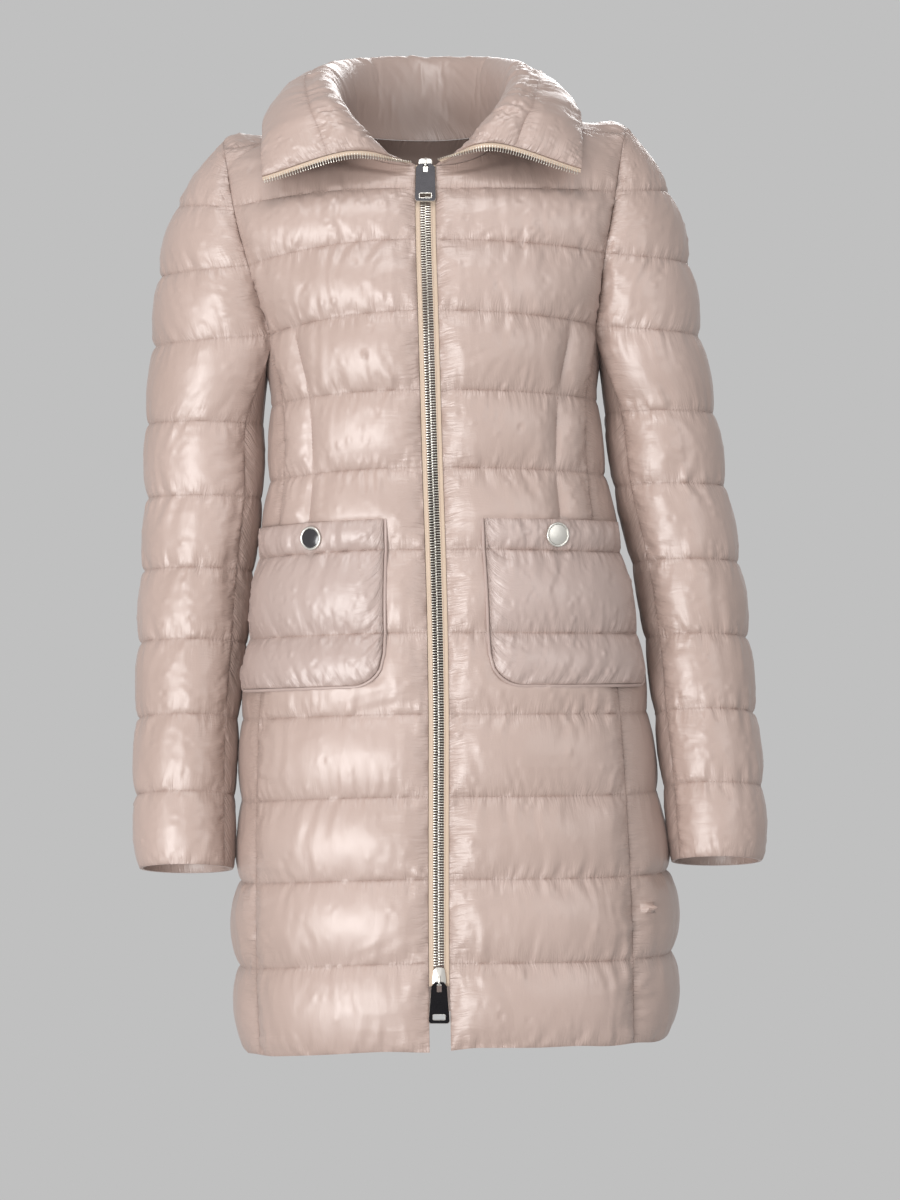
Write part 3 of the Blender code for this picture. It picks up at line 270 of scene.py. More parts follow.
def arc(start, end, turn, shares):
    """Quarter-like arc that leaves start along x and has turned by so many degrees at end."""
    angle = np.radians(turn) * np.linspace(0, 1, CURVE_STEPS)
    sine, cosine = rounded(angle)
    across = sine / sine[-1]
    inward = (1 - cosine) / (1 - cosine[-1])
    start, end = np.array(start), np.array(end)
    weights = np.stack([across, inward, across ** 2], axis=1)
    return even(start + (end - start) * weights, shares)


def neck_and_shoulder(middle, neck, tip, shares, rise):
    """Top row: a quarter round of the neckline, then a straight shoulder."""
    shares = np.asarray(shares, float)
    turn = np.clip(shares / NECK_SHARE, 0, 1) * math.pi / 2
    middle, neck, tip = np.array(middle), np.array(neck), np.array(tip)
    weights = np.stack([np.sin(turn), 1 - np.cos(turn), (1 - np.cos(turn)) ** rise], axis=1)
    along = np.clip((shares - NECK_SHARE) / (1 - NECK_SHARE), 0, 1)[:, None]
    return middle + (neck - middle) * weights + (tip - neck) * along


# ---- base surfaces ------------------------------------------------------------------------------
def front_net(side, shares):
    """Rows of a front, from hem to neck and shoulder, at shares from the zip to the side."""
    rows = []
    for row in BODY:
        zip_edge, front_seam, _ = seam_angles(row, side)
        curve = body_ring(row, np.linspace(zip_edge, front_seam, CURVE_STEPS))
        rows.append(even(curve, shares))
    edge = SIDES[side] * ZIP_HALF
    for row in named(CHEST_COLUMNS, FRONT_UPPER):
        start = np.array(row["middle"]) + (edge, 0, 0)
        rows.append(arc(start, row["edge_" + side], row["turn"], shares))
    throat = np.array(THROAT) + (edge, 0, 0)
    rows.append(neck_and_shoulder(throat, NECK_POINT[side], SHOULDER_TIP[side], shares, 1.0))
    return np.array(rows)


def half_back_net(side, shares):
    """Rows of half the back, from hem over the shoulder, at shares from the middle to the side."""
    rows = []
    for row in BODY:
        _, _, back_seam = seam_angles(row, side)
        curve = body_ring(row, np.linspace(SIDES[side] * math.pi, back_seam, CURVE_STEPS))
        rows.append(even(curve, shares))
    for row in named(CHEST_COLUMNS, BACK_UPPER):
        rows.append(arc(row["middle"], row["edge_" + side], row["turn"], shares))
    rows.append(neck_and_shoulder(RIDGE_MIDDLE, RIDGE_NECK[side], RIDGE_TIP[side], shares, 1.0))
    rows.append(neck_and_shoulder(NAPE, NECK_POINT[side], SHOULDER_TIP[side], shares, 1.0))
    return np.array(rows)


def side_net(side, shares):
    """Rows of a side panel, from hem to armhole, at shares from its front to its back seam."""
    rows = []
    for number, row in enumerate(BODY):
        _, front_seam, back_seam = seam_angles(row, side)
        curve = body_ring(row, np.linspace(front_seam, back_seam, CURVE_STEPS))
        points = even(curve, shares)
        if number == BUST_ROW:
            points[:, 2] -= UNDERARM_DIP * np.sin(math.pi * np.asarray(shares))
        rows.append(points)
    return np.array(rows)


def sleeve_ring(side, row, angle):
    """Point of a sleeve row at an angle from its front, turning away from the body."""
    centre = (row["outer"] + row["inner"]) / 2
    half = abs(row["outer"] - row["inner"]) / 2
    y = -row["depth"] * np.cos(angle)
    x = centre + SIDES[side] * half * np.sin(angle)
    return np.stack([x, row["axis_y"] + y, row["z"] - row["fall"] * y], axis=-1)


def top_sleeve_net(side, shares, front_edge, back_edge, top_edge):
    """Rows of a top sleeve, from the shoulder to the cuff, at shares from front to back seam."""
    shares = np.asarray(shares, float)[:, None]
    rows = [top_edge]
    for number, row in enumerate(named(SLEEVE_COLUMNS, SLEEVE_ROWS[side])):
        seam = math.radians(row["seam"])
        angle = -seam + shares[:, 0] * (math.pi + 2 * seam)
        points = sleeve_ring(side, row, angle)
        if number < len(front_edge):
            points = (points + (front_edge[number] - points[0]) * (1 - shares) ** 3
                      + (back_edge[number] - points[-1]) * shares ** 3)
        rows.append(points)
    return np.array(rows)


def under_sleeve_net(side, shares, top_edge):
    """Rows of an under sleeve, from the armhole to the cuff, at shares from front to back seam."""
    shares = np.asarray(shares, float)
    rows = [top_edge]
    for row in named(SLEEVE_COLUMNS, SLEEVE_ROWS[side])[3:]:
        seam = math.radians(row["seam"])
        angle = -seam - shares * (math.pi - 2 * seam)
        rows.append(sleeve_ring(side, row, angle))
    return np.array(rows)


def collar_net(neckline, stations):
    """Rows of the collar at its stations: neckline, crest, free edge."""
    table = named(COLLAR_COLUMNS, COLLAR_STATIONS)
    lines = [neckline]
    for key in ("crest", "edge"):
        right = np.array([station[key] for station in table])
        left = right * (-1, 1, 1) + (2 * COLLAR_MIRROR_X, 0, 0)
        fade = np.linspace(1, 0, len(right))[:, None]
        left = left + fade * (0, 0, COLLAR_LIFT_LEFT)
        lines.append(through(np.concatenate([right, left[-2::-1]]), stations))
    return np.array(lines)


# ---- fabric patches -----------------------------------------------------------------------------
def surface_normals(grid):
    """Normals of a grid of points, from the differences of its neighbours."""
    return unit(np.cross(np.gradient(grid, axis=1), np.gradient(grid, axis=0)))


def levels(first, last, steps=BAFFLE_ROWS):
    """Row numbers from first to last, with so many steps between two whole numbers."""
    return np.linspace(first, last, (last - first) * steps + 1)


def stops(places, width, step=FABRIC_STEP):
    """Shares that pass through each of the places, about one step of the width apart."""
    parts = [np.linspace(low, high, max(2, round((high - low) * width / step)) + 1)[:-1]
             for low, high in zip(places[:-1], places[1:])]
    return np.concatenate(parts + [[places[-1]]])


FRONT_SHARES = stops((0.0, NECK_SHARE, SHAPING_SHARE, 1.0), FRONT_WIDTH)
BACK_SHARES = stops((0.0, NECK_SHARE, 1.0), HALF_BACK_WIDTH)
FLANK_SHARES = stops((0.0, 1.0), FLANK_WIDTH)
ARM_SHARES = stops((0.0, 1.0), ARM_WIDTH)


def wander(x, y, seed):
    """Smooth noise from -1 to 1: random values at whole numbers of x and y, eased between."""
    size = 211
    values = np.random.default_rng(seed).uniform(-1, 1, (size, size))
    x, y = np.broadcast_arrays(x, y)
    left, low = np.floor(x).astype(int), np.floor(y).astype(int)
    across, up = x - left, y - low
    across, up = across ** 2 * (3 - 2 * across), up ** 2 * (3 - 2 * up)
    left, low = left % size, low % size
    right, high = (left + 1) % size, (low + 1) % size
    bottom = values[left, low] * (1 - across) + values[right, low] * across
    top = values[left, high] * (1 - across) + values[right, high] * across
    return bottom * (1 - up) + top * up


def distance_along(points, axis):
    """Running length of the grid's lines along an axis, from their first points."""
    step = np.linalg.norm(np.diff(points, axis=axis), axis=-1)
    pad = [(0, 0), (0, 0)]
    pad[axis] = (1, 0)
    return np.pad(np.cumsum(step, axis=axis), pad)


BAFFLE_ROUNDNESS = 0.7     # power of the sine across a baffle; lower is fuller
EDGE_ROUNDNESS = 2.2       # power of the fall towards a side edge
UNEVEN, UNEVEN_LENGTH = 0.16, 0.07    # share by which the fill varies, and over what length
SHAPING_REACH = 0.014      # from the vertical shaping seam to the full loft


class Patch:
    """One quilted piece: base grid, normals towards the shown side, stitched rows, share of loft."""

    def __init__(self, name, grid, numbers, outward, gather, loft=1.0, height=LOFT):
        """Its grid, the row number of each line of points, and what is sewn down."""
        self.name = name
        self.grid = grid
        self.numbers = numbers
        self.outward = outward
        self.gather = gather
        self.height = height
        self.normals = surface_normals(grid) * outward
        self.shift = np.zeros_like(grid)
        self.share = np.broadcast_to(loft, grid.shape[:2]).copy()
        self.stitched = np.abs(numbers - np.round(numbers)) < 1e-6
        self.sewn = np.zeros(grid.shape[:2], bool)
        self.sewn[self.stitched] = True
        self.sewn[[0, -1]] = True
        self.sewn[:, [0, -1]] = True

    def to_seams(self):
        """Distance of each point from the nearest stitched row and from the nearer side edge."""
        up = distance_along(self.grid, 0)
        rows = np.flatnonzero(self.sewn.all(axis=1))
        below = rows[np.clip(np.searchsorted(rows, np.arange(len(up)), side="right") - 1, 0, None)]
        above = rows[np.clip(np.searchsorted(rows, np.arange(len(up))), 0, len(rows) - 1)]
        across = distance_along(self.grid, 1)
        return np.minimum(up - up[below], up[above] - up), np.minimum(across, across[:, -1:] - across)

    def build(self):
        """Raise the fabric between its seams: a high sine along each baffle, rounded at the sides."""
        rows = np.flatnonzero(self.sewn.all(axis=1))
        share = np.interp(np.arange(len(self.grid)), rows, np.arange(len(rows)))
        arch = np.abs(np.sin(math.pi * share)) ** BAFFLE_ROUNDNESS
        _, aside = self.to_seams()
        near = 1 - np.clip(aside / EDGE_REACH, 0, 1)
        self.arch = arch[:, None] * (1 - near ** EDGE_ROUNDNESS)
        across = distance_along(self.grid, 1) / UNEVEN_LENGTH
        uneven = 1 + UNEVEN * wander(across, self.numbers[:, None] * 1.0, SEED)
        self.base = self.grid + self.shift
        lift = SEAM_WALL / 2 + self.height * self.arch * self.share * uneven
        self.start = self.base + self.normals * lift[..., None]


def border(array, which):
    """One edge of a grid, as a view."""
    return {"bottom": array[0], "top": array[-1], "first": array[:, 0], "last": array[:, -1]}[which]


def resample(line, count):
    """A line of points read at so many even places of its numbering."""
    at = np.linspace(0, len(line) - 1, count)
    low = np.minimum(at.astype(int), len(line) - 2)
    share = (at - low)[:, None]
    return line[low] * (1 - share) + line[low + 1] * share


def sew(one, one_edge, two, two_edge, one_part=slice(None), two_part=slice(None), reverse=False):
    """Give two edges that are sewn together the same normals, and open half the gap on each."""
    step = -1 if reverse else 1
    first = border(one.normals, one_edge)[one_part]
    second = border(two.normals, two_edge)[two_part][::step]
    turn = np.sign(np.sum(first * resample(second, len(first))))
    shared = unit(first + turn * resample(second, len(first)))
    first[...] = shared
    border(two.normals, two_edge)[two_part] = (turn * resample(shared, len(second)))[::step]
    for patch, which, part in ((one, one_edge, one_part), (two, two_edge, two_part)):
        rim = border(patch.grid, which)[part]
        inside = {"bottom": patch.grid[1], "top": patch.grid[-2],
                  "first": patch.grid[:, 1], "last": patch.grid[:, -2]}[which][part]
        tangent = unit(np.gradient(rim, axis=0))
        inward = inside - rim
        inward = inward - tangent * np.sum(inward * tangent, axis=1, keepdims=True)
        border(patch.shift, which)[part] += unit(inward) * SEAM_GAP / 2


def contact(numbers, low, high, least):
    """Share of the loft: 1 away from a stretch of rows, falling to least inside it."""
    inside = np.clip(np.minimum(numbers - low, high - numbers) + 1, 0, 1)
    return 1 - (1 - least) * inside


def ease(low, high, at):
    """Smooth step from 0 at low to 1 at high."""
    share = np.clip((at - low) / (high - low), 0, 1)
    return share ** 2 * (3 - 2 * share)


def waved(grid, numbers):
    """The lowest baffle lengthened and shortened a little round the hem, most at the hem itself."""
    wave = HEM_WAVE * wander(grid[..., 0] / HEM_WAVE_LENGTH, grid[..., 1] / HEM_WAVE_LENGTH, SEED + 3)
    part = np.clip(1 - numbers, 0, 1)[:, None] ** 2
    return grid + (wave * part)[..., None] * (0, 0, 1)


def body_patches():
    """Fronts, side panels and back. A side panel's edges are drawn onto its neighbours' edges."""
    patches = {}
    numbers = levels(0, TOP_ROW)
    flank_numbers = levels(0, BUST_ROW)
    roll = np.linspace(RIDGE_ROW, BACK_TOP_ROW, ROLL_ROWS + 1)
    back_numbers = np.concatenate([levels(0, RIDGE_ROW)[:-1], roll])
    shares = np.concatenate([BACK_SHARES[::-1], BACK_SHARES[1:]])
    halves = [through(half_back_net(side, BACK_SHARES), back_numbers) for side in ("left", "right")]
    grid = np.concatenate([halves[0][:, ::-1], halves[1][:, 1:]], axis=1)
    covered = ease(RIDGE_ROW - 1.3, RIDGE_ROW - 0.7, back_numbers)[:, None] * (1 - ease(0.8, 0.95, shares))
    at_neck = (ease(BACK_TOP_ROW - 0.75, BACK_TOP_ROW - 0.5, back_numbers)[:, None]
               * (1 - ease(0.55, 0.65, shares)))
    loft = (1 - (1 - UNDER_COLLAR_LOFT) * covered) * (1 - at_neck)
    back = Patch("back", waved(grid, back_numbers), back_numbers, 1.0, GATHER, loft)
    ridge = np.flatnonzero(np.abs(back_numbers - RIDGE_ROW) < 1e-6)
    back.sewn[ridge, 1:-1] = False
    patches["back"] = back
    for side, sign in SIDES.items():
        grid = through(front_net(side, FRONT_SHARES), numbers)
        covered = ease(TOP_ROW - 1.3, TOP_ROW - 0.7, numbers)[:, None] * (1 - ease(0.6, 0.75, FRONT_SHARES))
        at_neck = ease(TOP_ROW - 0.7, TOP_ROW - 0.4, numbers)[:, None] * (1 - ease(0.55, 0.65, FRONT_SHARES))
        pressed = (ease(POCKET_ROWS[0] - 0.12, POCKET_ROWS[0] + 0.08, numbers)
                   * (1 - ease(POCKET_ROWS[1] - 0.05, POCKET_ROWS[1] + 0.10, numbers)))[:, None]
        over = ease(POCKET_SHARE - 0.10, POCKET_SHARE + 0.03, FRONT_SHARES)
        loft = ((1 - (1 - UNDER_COLLAR_LOFT) * covered) * (1 - at_neck)
                * (1 - (1 - UNDER_POCKET_LOFT) * pressed * over))
        front = Patch("front_" + side, waved(grid, numbers), numbers, sign, GATHER, loft)
        shaping = int(np.argmin(np.abs(FRONT_SHARES - SHAPING_SHARE)))
        stitched = (numbers > POCKET_ROWS[1]) & (numbers < BUST_ROW)
        front.sewn[stitched, shaping] = True
        beside = np.abs(distance_along(grid, 1) - distance_along(grid, 1)[:, shaping:shaping + 1])
        near_shaping = (1 - np.clip(beside / SHAPING_REACH, 0, 1)) ** 2
        front.share *= 1 - (1 - SHAPING_LOFT) * stitched[:, None] * near_shaping
        patches["front_" + side] = front
        flank = through(side_net(side, FLANK_SHARES), flank_numbers)
        rows = len(flank_numbers)
        behind = halves[0 if side == "left" else 1][:rows, -1]
        part = FLANK_SHARES[None, :, None]
        flank += (grid[:rows, -1] - flank[:, 0])[:, None] * (1 - part) ** 3
        flank += (behind - flank[:, -1])[:, None] * part ** 3
        near_arm = contact(flank_numbers, 2.7, BUST_ROW + 1.0, CONTACT_LOFT)
        at_armpit = ease(BUST_ROW - 1.4, BUST_ROW - 0.8, flank_numbers)
        near_arm = np.minimum(near_arm, 1 - (1 - ARMPIT_LOFT) * at_armpit)
        front_part = 1 - ease(0.1, 0.5, FLANK_SHARES)
        behind_pocket = 1 - (1 - UNDER_POCKET_LOFT) * pressed[:rows] * front_part
        loft = near_arm[:, None] * behind_pocket
        patches["side_" + side] = Patch("side_" + side, waved(flank, flank_numbers), flank_numbers,
                                        sign, GATHER, loft)
    return patches


def sleeve_patches(patches):
    """Top and under sleeves, their first rows on the armholes."""
    cap = CAP_ROWS * BAFFLE_ROWS
    first_cap = BUST_ROW * BAFFLE_ROWS
    ridge = RIDGE_ROW * BAFFLE_ROWS
    for side, sign in SIDES.items():
        front = patches["front_" + side].grid[:, -1]
        back = patches["back"].grid[:, 0 if side == "left" else -1]
        front_rows = front[::-BAFFLE_ROWS][1:CAP_ROWS + 1]
        back_rows = back[ridge - BAFFLE_ROWS:first_cap - 1:-BAFFLE_ROWS]
        top_edge = resample(back[ridge:][::-1], len(ARM_SHARES))
        count = len(SLEEVE_ROWS[side])
        numbers = levels(0, count)
        grid = through(top_sleeve_net(side, ARM_SHARES, front_rows, back_rows, top_edge), numbers)
        part = ARM_SHARES[None, :, None]
        grid[:cap + 1] += (front[::-1][:cap + 1] - grid[:cap + 1, 0])[:, None] * (1 - part) ** 4
        grid[:cap + 1] += (back[first_cap:ridge + 1][::-1] - grid[:cap + 1, -1])[:, None] * part ** 4
        name = "sleeve_%s_top" % side
        loft = np.interp(numbers, (0, 1, 2), SLEEVE_CAP_LOFT)[:, None]
        patches[name] = Patch(name, grid, numbers, -sign, SLEEVE_GATHER, loft, SLEEVE_LOFT)
        numbers = levels(0, count - CAP_ROWS)
        under_edge = patches["side_" + side].grid[-1]
        under = through(under_sleeve_net(side, FLANK_SHARES, under_edge), numbers)
        part = FLANK_SHARES[None, :, None]
        under += (grid[cap:, 0] - under[:, 0])[:, None] * (1 - part) ** 3
        under += (grid[cap:, -1] - under[:, -1])[:, None] * part ** 3
        loft = np.where(numbers < 1, ARMPIT_LOFT, CONTACT_LOFT)[:, None]
        name = "sleeve_%s_under" % side
        patches[name] = Patch(name, under, numbers, sign, GATHER, loft, SLEEVE_LOFT)


def collar_patch(patches):
    """The fold-out collar, two columns for each column of the neckline it is sewn to."""
    neck = FRONT_SHARES[FRONT_SHARES <= NECK_SHARE + 1e-9]
    behind = BACK_SHARES[BACK_SHARES <= NECK_SHARE + 1e-9][::-1]
    half = np.concatenate([np.interp(neck, COLLAR_NECK_STATIONS[1], COLLAR_NECK_STATIONS[0]),
                           np.interp(-behind[1:], -np.array(COLLAR_BACK_STATIONS[1]),
                                     COLLAR_BACK_STATIONS[0])])
    stations = np.concatenate([half, 10 - half[-2::-1]])
    right, left = (patches["front_" + side].grid[-1][:len(neck)] for side in ("right", "left"))
    middle = len(BACK_SHARES) - 1
    count = len(behind) - 1
    back = patches["back"].grid[-1][middle - count:middle + count + 1][::-1]
    neckline = np.concatenate([right, back[1:-1], left[::-1]])
    fine = resample(stations[:, None], 2 * len(stations) - 1)[:, 0]
    fine_neck = through(neckline, np.linspace(0, len(neckline) - 1, len(fine)))
    upright = np.concatenate([np.linspace(0, COLLAR_SEAM_AT, COLLAR_LINES[0]),
                              np.linspace(COLLAR_SEAM_AT, 1, COLLAR_LINES[1])[1:]])
    heights = np.interp(upright, (0, COLLAR_CREST_AT, 1), (0, 1, 2))
    grid = through(collar_net(fine_neck, fine), heights)
    numbers = np.interp(upright, (0, COLLAR_SEAM_AT, 1), (0, 1, 2))
    loft = COLLAR_SHARE * ease(0.0, COLLAR_RISE, numbers)[:, None]
    patches["collar"] = Patch("collar", grid, numbers, 1.0, COLLAR_GATHER, loft, COLLAR_LOFT)
    return len(neck), count


def sew_all(patches, neck_columns, back_columns):
    """Share the normals along every seam and open its gap."""
    arm = slice(BAFFLE_ROWS * BUST_ROW, BAFFLE_ROWS * TOP_ROW + 1)
    low = slice(0, BAFFLE_ROWS * BUST_ROW + 1)
    cap, below_cap = slice(0, BAFFLE_ROWS * CAP_ROWS + 1), slice(BAFFLE_ROWS * CAP_ROWS, None)
    middle = len(BACK_SHARES) - 1
    back, collar = patches["back"], patches["collar"]
    reach = 2 * neck_columns - 1
    for side in SIDES:
        front, flank = patches["front_" + side], patches["side_" + side]
        top, under = patches["sleeve_%s_top" % side], patches["sleeve_%s_under" % side]
        left = side == "left"
        back_edge = "first" if left else "last"
        sew(front, "last", flank, "first", low)
        sew(back, back_edge, flank, "last", low)
        sew(front, "last", top, "first", arm, cap, reverse=True)
        sew(back, back_edge, top, "last", arm, cap, reverse=True)
        sew(back, back_edge, top, "bottom", slice(BAFFLE_ROWS * RIDGE_ROW, None), reverse=True)
        sew(flank, "top", under, "bottom")
        sew(top, "first", under, "first", below_cap)
        sew(top, "last", under, "last", below_cap)
        shoulder = slice(0, middle - back_columns + 1) if left else slice(middle + back_columns, None)
        sew(front, "top", back, "top", slice(neck_columns - 1, None), shoulder, reverse=left)
        throat = slice(collar.grid.shape[1] - reach, None) if left else slice(0, reach)
        sew(front, "top", collar, "bottom", slice(0, neck_columns), throat, reverse=left)
    behind = slice(middle - back_columns, middle + back_columns + 1)
    wide = slice(reach - 1, collar.grid.shape[1] - reach + 1)
    sew(back, "top", collar, "bottom", behind, wide, reverse=True)


# ---- cloth simulation ---------------------------------------------------------------------------
FRAMES = 20
PRESSURE = 2000.0
MOVE_SHARE = 0.60          # most swelling that the simulation may add, as a share of the loft
GATHER, SLEEVE_GATHER, COLLAR_GATHER = 0.06, 0.09, 0.05   # extra width of the fabric along its seams


def patch_quads(rows, columns, outward):
    """Corner numbers of a grid's quads, turned so that their normals point to the shown side."""
    number = np.arange(rows * columns).reshape(rows, columns)
    quads = np.stack([number[:-1, :-1], number[:-1, 1:], number[1:, 1:], number[1:, :-1]], axis=-1)
    return (quads if outward > 0 else quads[..., ::-1]).reshape(-1, 4)


def blow_up(patches):
    """Cloth simulation of all the patches at once: stitched lines pinned, pressure from behind.

    The threads' rest lengths come from the same shape made wider by the gather round the body and
    the arms, so that the fabric has more width than its seams and buckles. Returns the moved points.
    """
    starts = np.cumsum([0] + [patch.start[..., 0].size for patch in patches])
    jitter = np.random.default_rng(SEED)
    points, rest, faces, held = [], [], [], []
    for first, patch in zip(starts, patches):
        free = ~patch.sewn
        tremble = TREMBLE * jitter.standard_normal(free.shape) * free
        points.append((patch.start + patch.normals * tremble[..., None]).reshape(-1, 3))
        rest.append((patch.start * (1 + patch.gather, 1 + patch.gather, 1)).reshape(-1, 3))
        faces.append(patch_quads(*free.shape, patch.outward) + first)
        held.append(np.flatnonzero(patch.sewn.ravel()) + first)
    points, rest = np.concatenate(points), np.concatenate(rest)
    mesh = bpy.data.meshes.new("fabric")
    mesh.from_pydata(points, [], np.concatenate(faces))
    fabric = bpy.data.objects.new("fabric", mesh)
    bpy.context.scene.collection.objects.link(fabric)
    fabric.shape_key_add(name="Basis")
    flat = fabric.shape_key_add(name="cut")
    flat.data.foreach_set("co", rest.astype(np.float32).ravel())
    flat.value = 0.0
    pins = fabric.vertex_groups.new(name="stitched")
    pins.add(np.concatenate(held).tolist(), 1.0, "REPLACE")
    cloth = fabric.modifiers.new("cloth", "CLOTH")
    settings = cloth.settings
    settings.quality = 4
    settings.mass = 0.05
    settings.tension_stiffness = settings.compression_stiffness = 25
    settings.shear_stiffness = 8
    settings.bending_stiffness = 0.5
    settings.use_pressure = True
    settings.uniform_pressure_force = PRESSURE
    settings.vertex_group_mass = "stitched"
    settings.rest_shape_key = flat
    settings.effector_weights.gravity = 0
    cloth.collision_settings.use_collision = False
    cloth.collision_settings.use_self_collision = False
    cloth.point_cache.frame_start, cloth.point_cache.frame_end = 1, FRAMES
    scene = bpy.context.scene
    for number in range(1, FRAMES + 1):
        scene.frame_set(number)
    swollen = fabric.evaluated_get(bpy.context.evaluated_depsgraph_get())
    moved = np.empty(len(points) * 3, np.float32)
    swollen.to_mesh().vertices.foreach_get("co", moved)
    swollen.to_mesh_clear()
    scene.frame_set(1)
    bpy.data.objects.remove(fabric)
    moved = moved.reshape(-1, 3).astype(float)
    return [moved[first:first + patch.start[..., 0].size].reshape(patch.start.shape)
            for first, patch in zip(starts, patches)]


# ---- finished quilts ----------------------------------------------------------------------------
# Puckers beside a stitched line: height, reach away from it, pitch along it, lean, length.
SEAM_REACH = 0.0025        # over which a seam's closeness falls to about a third
PUCKER_COLUMNS = ("name", "height", "reach", "pitch", "lean", "length")
PUCKERS = (
    ("gathers", 0.0015, 0.0100, 0.0040, 0.4, 0.030),
    ("creases", 0.0016, 0.0260, 0.0085, 0.7, 0.050),
)


def halve(points, kept):
    """Put a point midway between each two rows: on a cubic, or on a parabola beside a kept row."""
    last = len(points) - 1
    low = np.arange(last)
    shape = (-1,) + (1,) * (points.ndim - 1)
    before, here = points[np.maximum(low - 1, 0)], points[low]
    after, beyond = points[low + 1], points[np.minimum(low + 2, last)]
    low_kept = (kept[low] | (low == 0)).reshape(shape)
    high_kept = (kept[low + 1] | (low + 1 == last)).reshape(shape)
    middle = (9 * (here + after) - before - beyond) / 16
    middle = np.where(low_kept, (3 * here + 6 * after - beyond) / 8, middle)
    middle = np.where(high_kept, (3 * after + 6 * here - before) / 8, middle)
    middle = np.where(low_kept & high_kept, (here + after) / 2, middle)
    fine = np.empty((2 * last + 1,) + points.shape[1:])
    fine[::2], fine[1::2] = points, middle
    return fine


def halve_both(points, rows, columns):
    """Halve a grid's steps along both axes."""
    return np.swapaxes(halve(np.swapaxes(halve(points, rows), 0, 1), columns), 0, 1)


def mesh_object(name, points, faces, finish, cut=None, closeness=(), sharp=35):
    """A mesh from points and arrays of faces, each array with its own count of corners.

    cut gives each point's place on the flat fabric in metres. closeness gives, by name, how near
    each point is to a kind of seam.
    """
    corners = np.concatenate([part.ravel() for part in faces]).astype(np.int32)
    counts = np.concatenate([np.full(len(part), part.shape[1]) for part in faces])
    mesh = bpy.data.meshes.new(name)
    mesh.vertices.add(len(points))
    mesh.vertices.foreach_set("co", np.asarray(points, np.float32).ravel())
    mesh.loops.add(len(corners))
    mesh.loops.foreach_set("vertex_index", corners)
    mesh.polygons.add(len(counts))
    mesh.polygons.foreach_set("loop_start", (np.cumsum(counts) - counts).astype(np.int32))
    mesh.update(calc_edges=True)
    mesh.shade_smooth()
    if sharp:
        mesh.set_sharp_from_angle(angle=math.radians(sharp))
    if cut is not None:
        layer = mesh.uv_layers.new(name="cut")
        layer.data.foreach_set("uv", np.asarray(cut, np.float32)[corners].ravel())
    for key, values in dict(closeness).items():
        near = mesh.attributes.new(key, "FLOAT", "POINT")
        near.data.foreach_set("value", np.asarray(values, np.float32).ravel())
    mesh.materials.append(finish)
    made = bpy.data.objects.new(name, mesh)
    bpy.context.scene.collection.objects.link(made)
    return made


def wall_faces(rows, columns, outward):
    """Faces of a closed wall: a fine shown grid, a hidden grid of every second point, and the rim."""
    shown = patch_quads(rows, columns, outward)
    low_rows, low_columns = (rows + 1) // 2, (columns + 1) // 2
    hidden = patch_quads(low_rows, low_columns, -outward) + rows * columns
    fine = np.arange(rows * columns).reshape(rows, columns)
    coarse = np.arange(low_rows * low_columns).reshape(low_rows, low_columns) + rows * columns
    loop = np.concatenate([fine[0, :-1], fine[:-1, -1], fine[-1, :0:-1], fine[:0:-1, 0]])
    behind = np.concatenate([coarse[0, :-1], coarse[:-1, -1], coarse[-1, :0:-1], coarse[:0:-1, 0]])
    here, half, after = loop[::2], loop[1::2], np.roll(loop, -1)[1::2]
    rim = np.stack([after, half, here, behind, np.roll(behind, -1)], axis=1)
    return [shown, hidden, rim if outward > 0 else rim[:, ::-1]]


def puckers(along_seam, from_seam, distance, seed):
    """Height of the puckers of one set of seams: noise drawn out across the seam, dying away from it."""
    lift = 0
    for number, kind in enumerate(named(PUCKER_COLUMNS, PUCKERS)):
        lean = kind["lean"] * wander(along_seam / 0.055, from_seam / 0.075, seed + 2 * number)
        uneven = wander(along_seam / 0.013, from_seam / 0.04, seed + 2 * number + 1)
        reach = kind["reach"] * (1 + 0.7 * uneven)
        ripple = wander((along_seam + lean * distance) / kind["pitch"], from_seam / kind["length"],
                        seed + 20 + number)
        lift = lift + kind["height"] * ripple * np.exp(-distance / reach)
    return lift


def blurred(grid, times):
    """A grid averaged with its neighbours along both axes, several times over."""
    for _ in range(times):
        for axis in (0, 1):
            padded = np.pad(grid, [(1, 1) if k == axis else (0, 0) for k in range(grid.ndim)], "edge")
            parts = (np.take(padded, np.arange(first, first + grid.shape[axis]), axis) for first in (0, 2))
            grid = grid / 2 + sum(parts) / 4
    return grid


SWELL_BLURS = 10           # times the swell is averaged before it is limited
SWELL_ROOM = 1.3           # full swell from this share of the loft, as 1 / SWELL_ROOM
PUCKER_FADE = 0.0020       # from a seam to puckers of full height


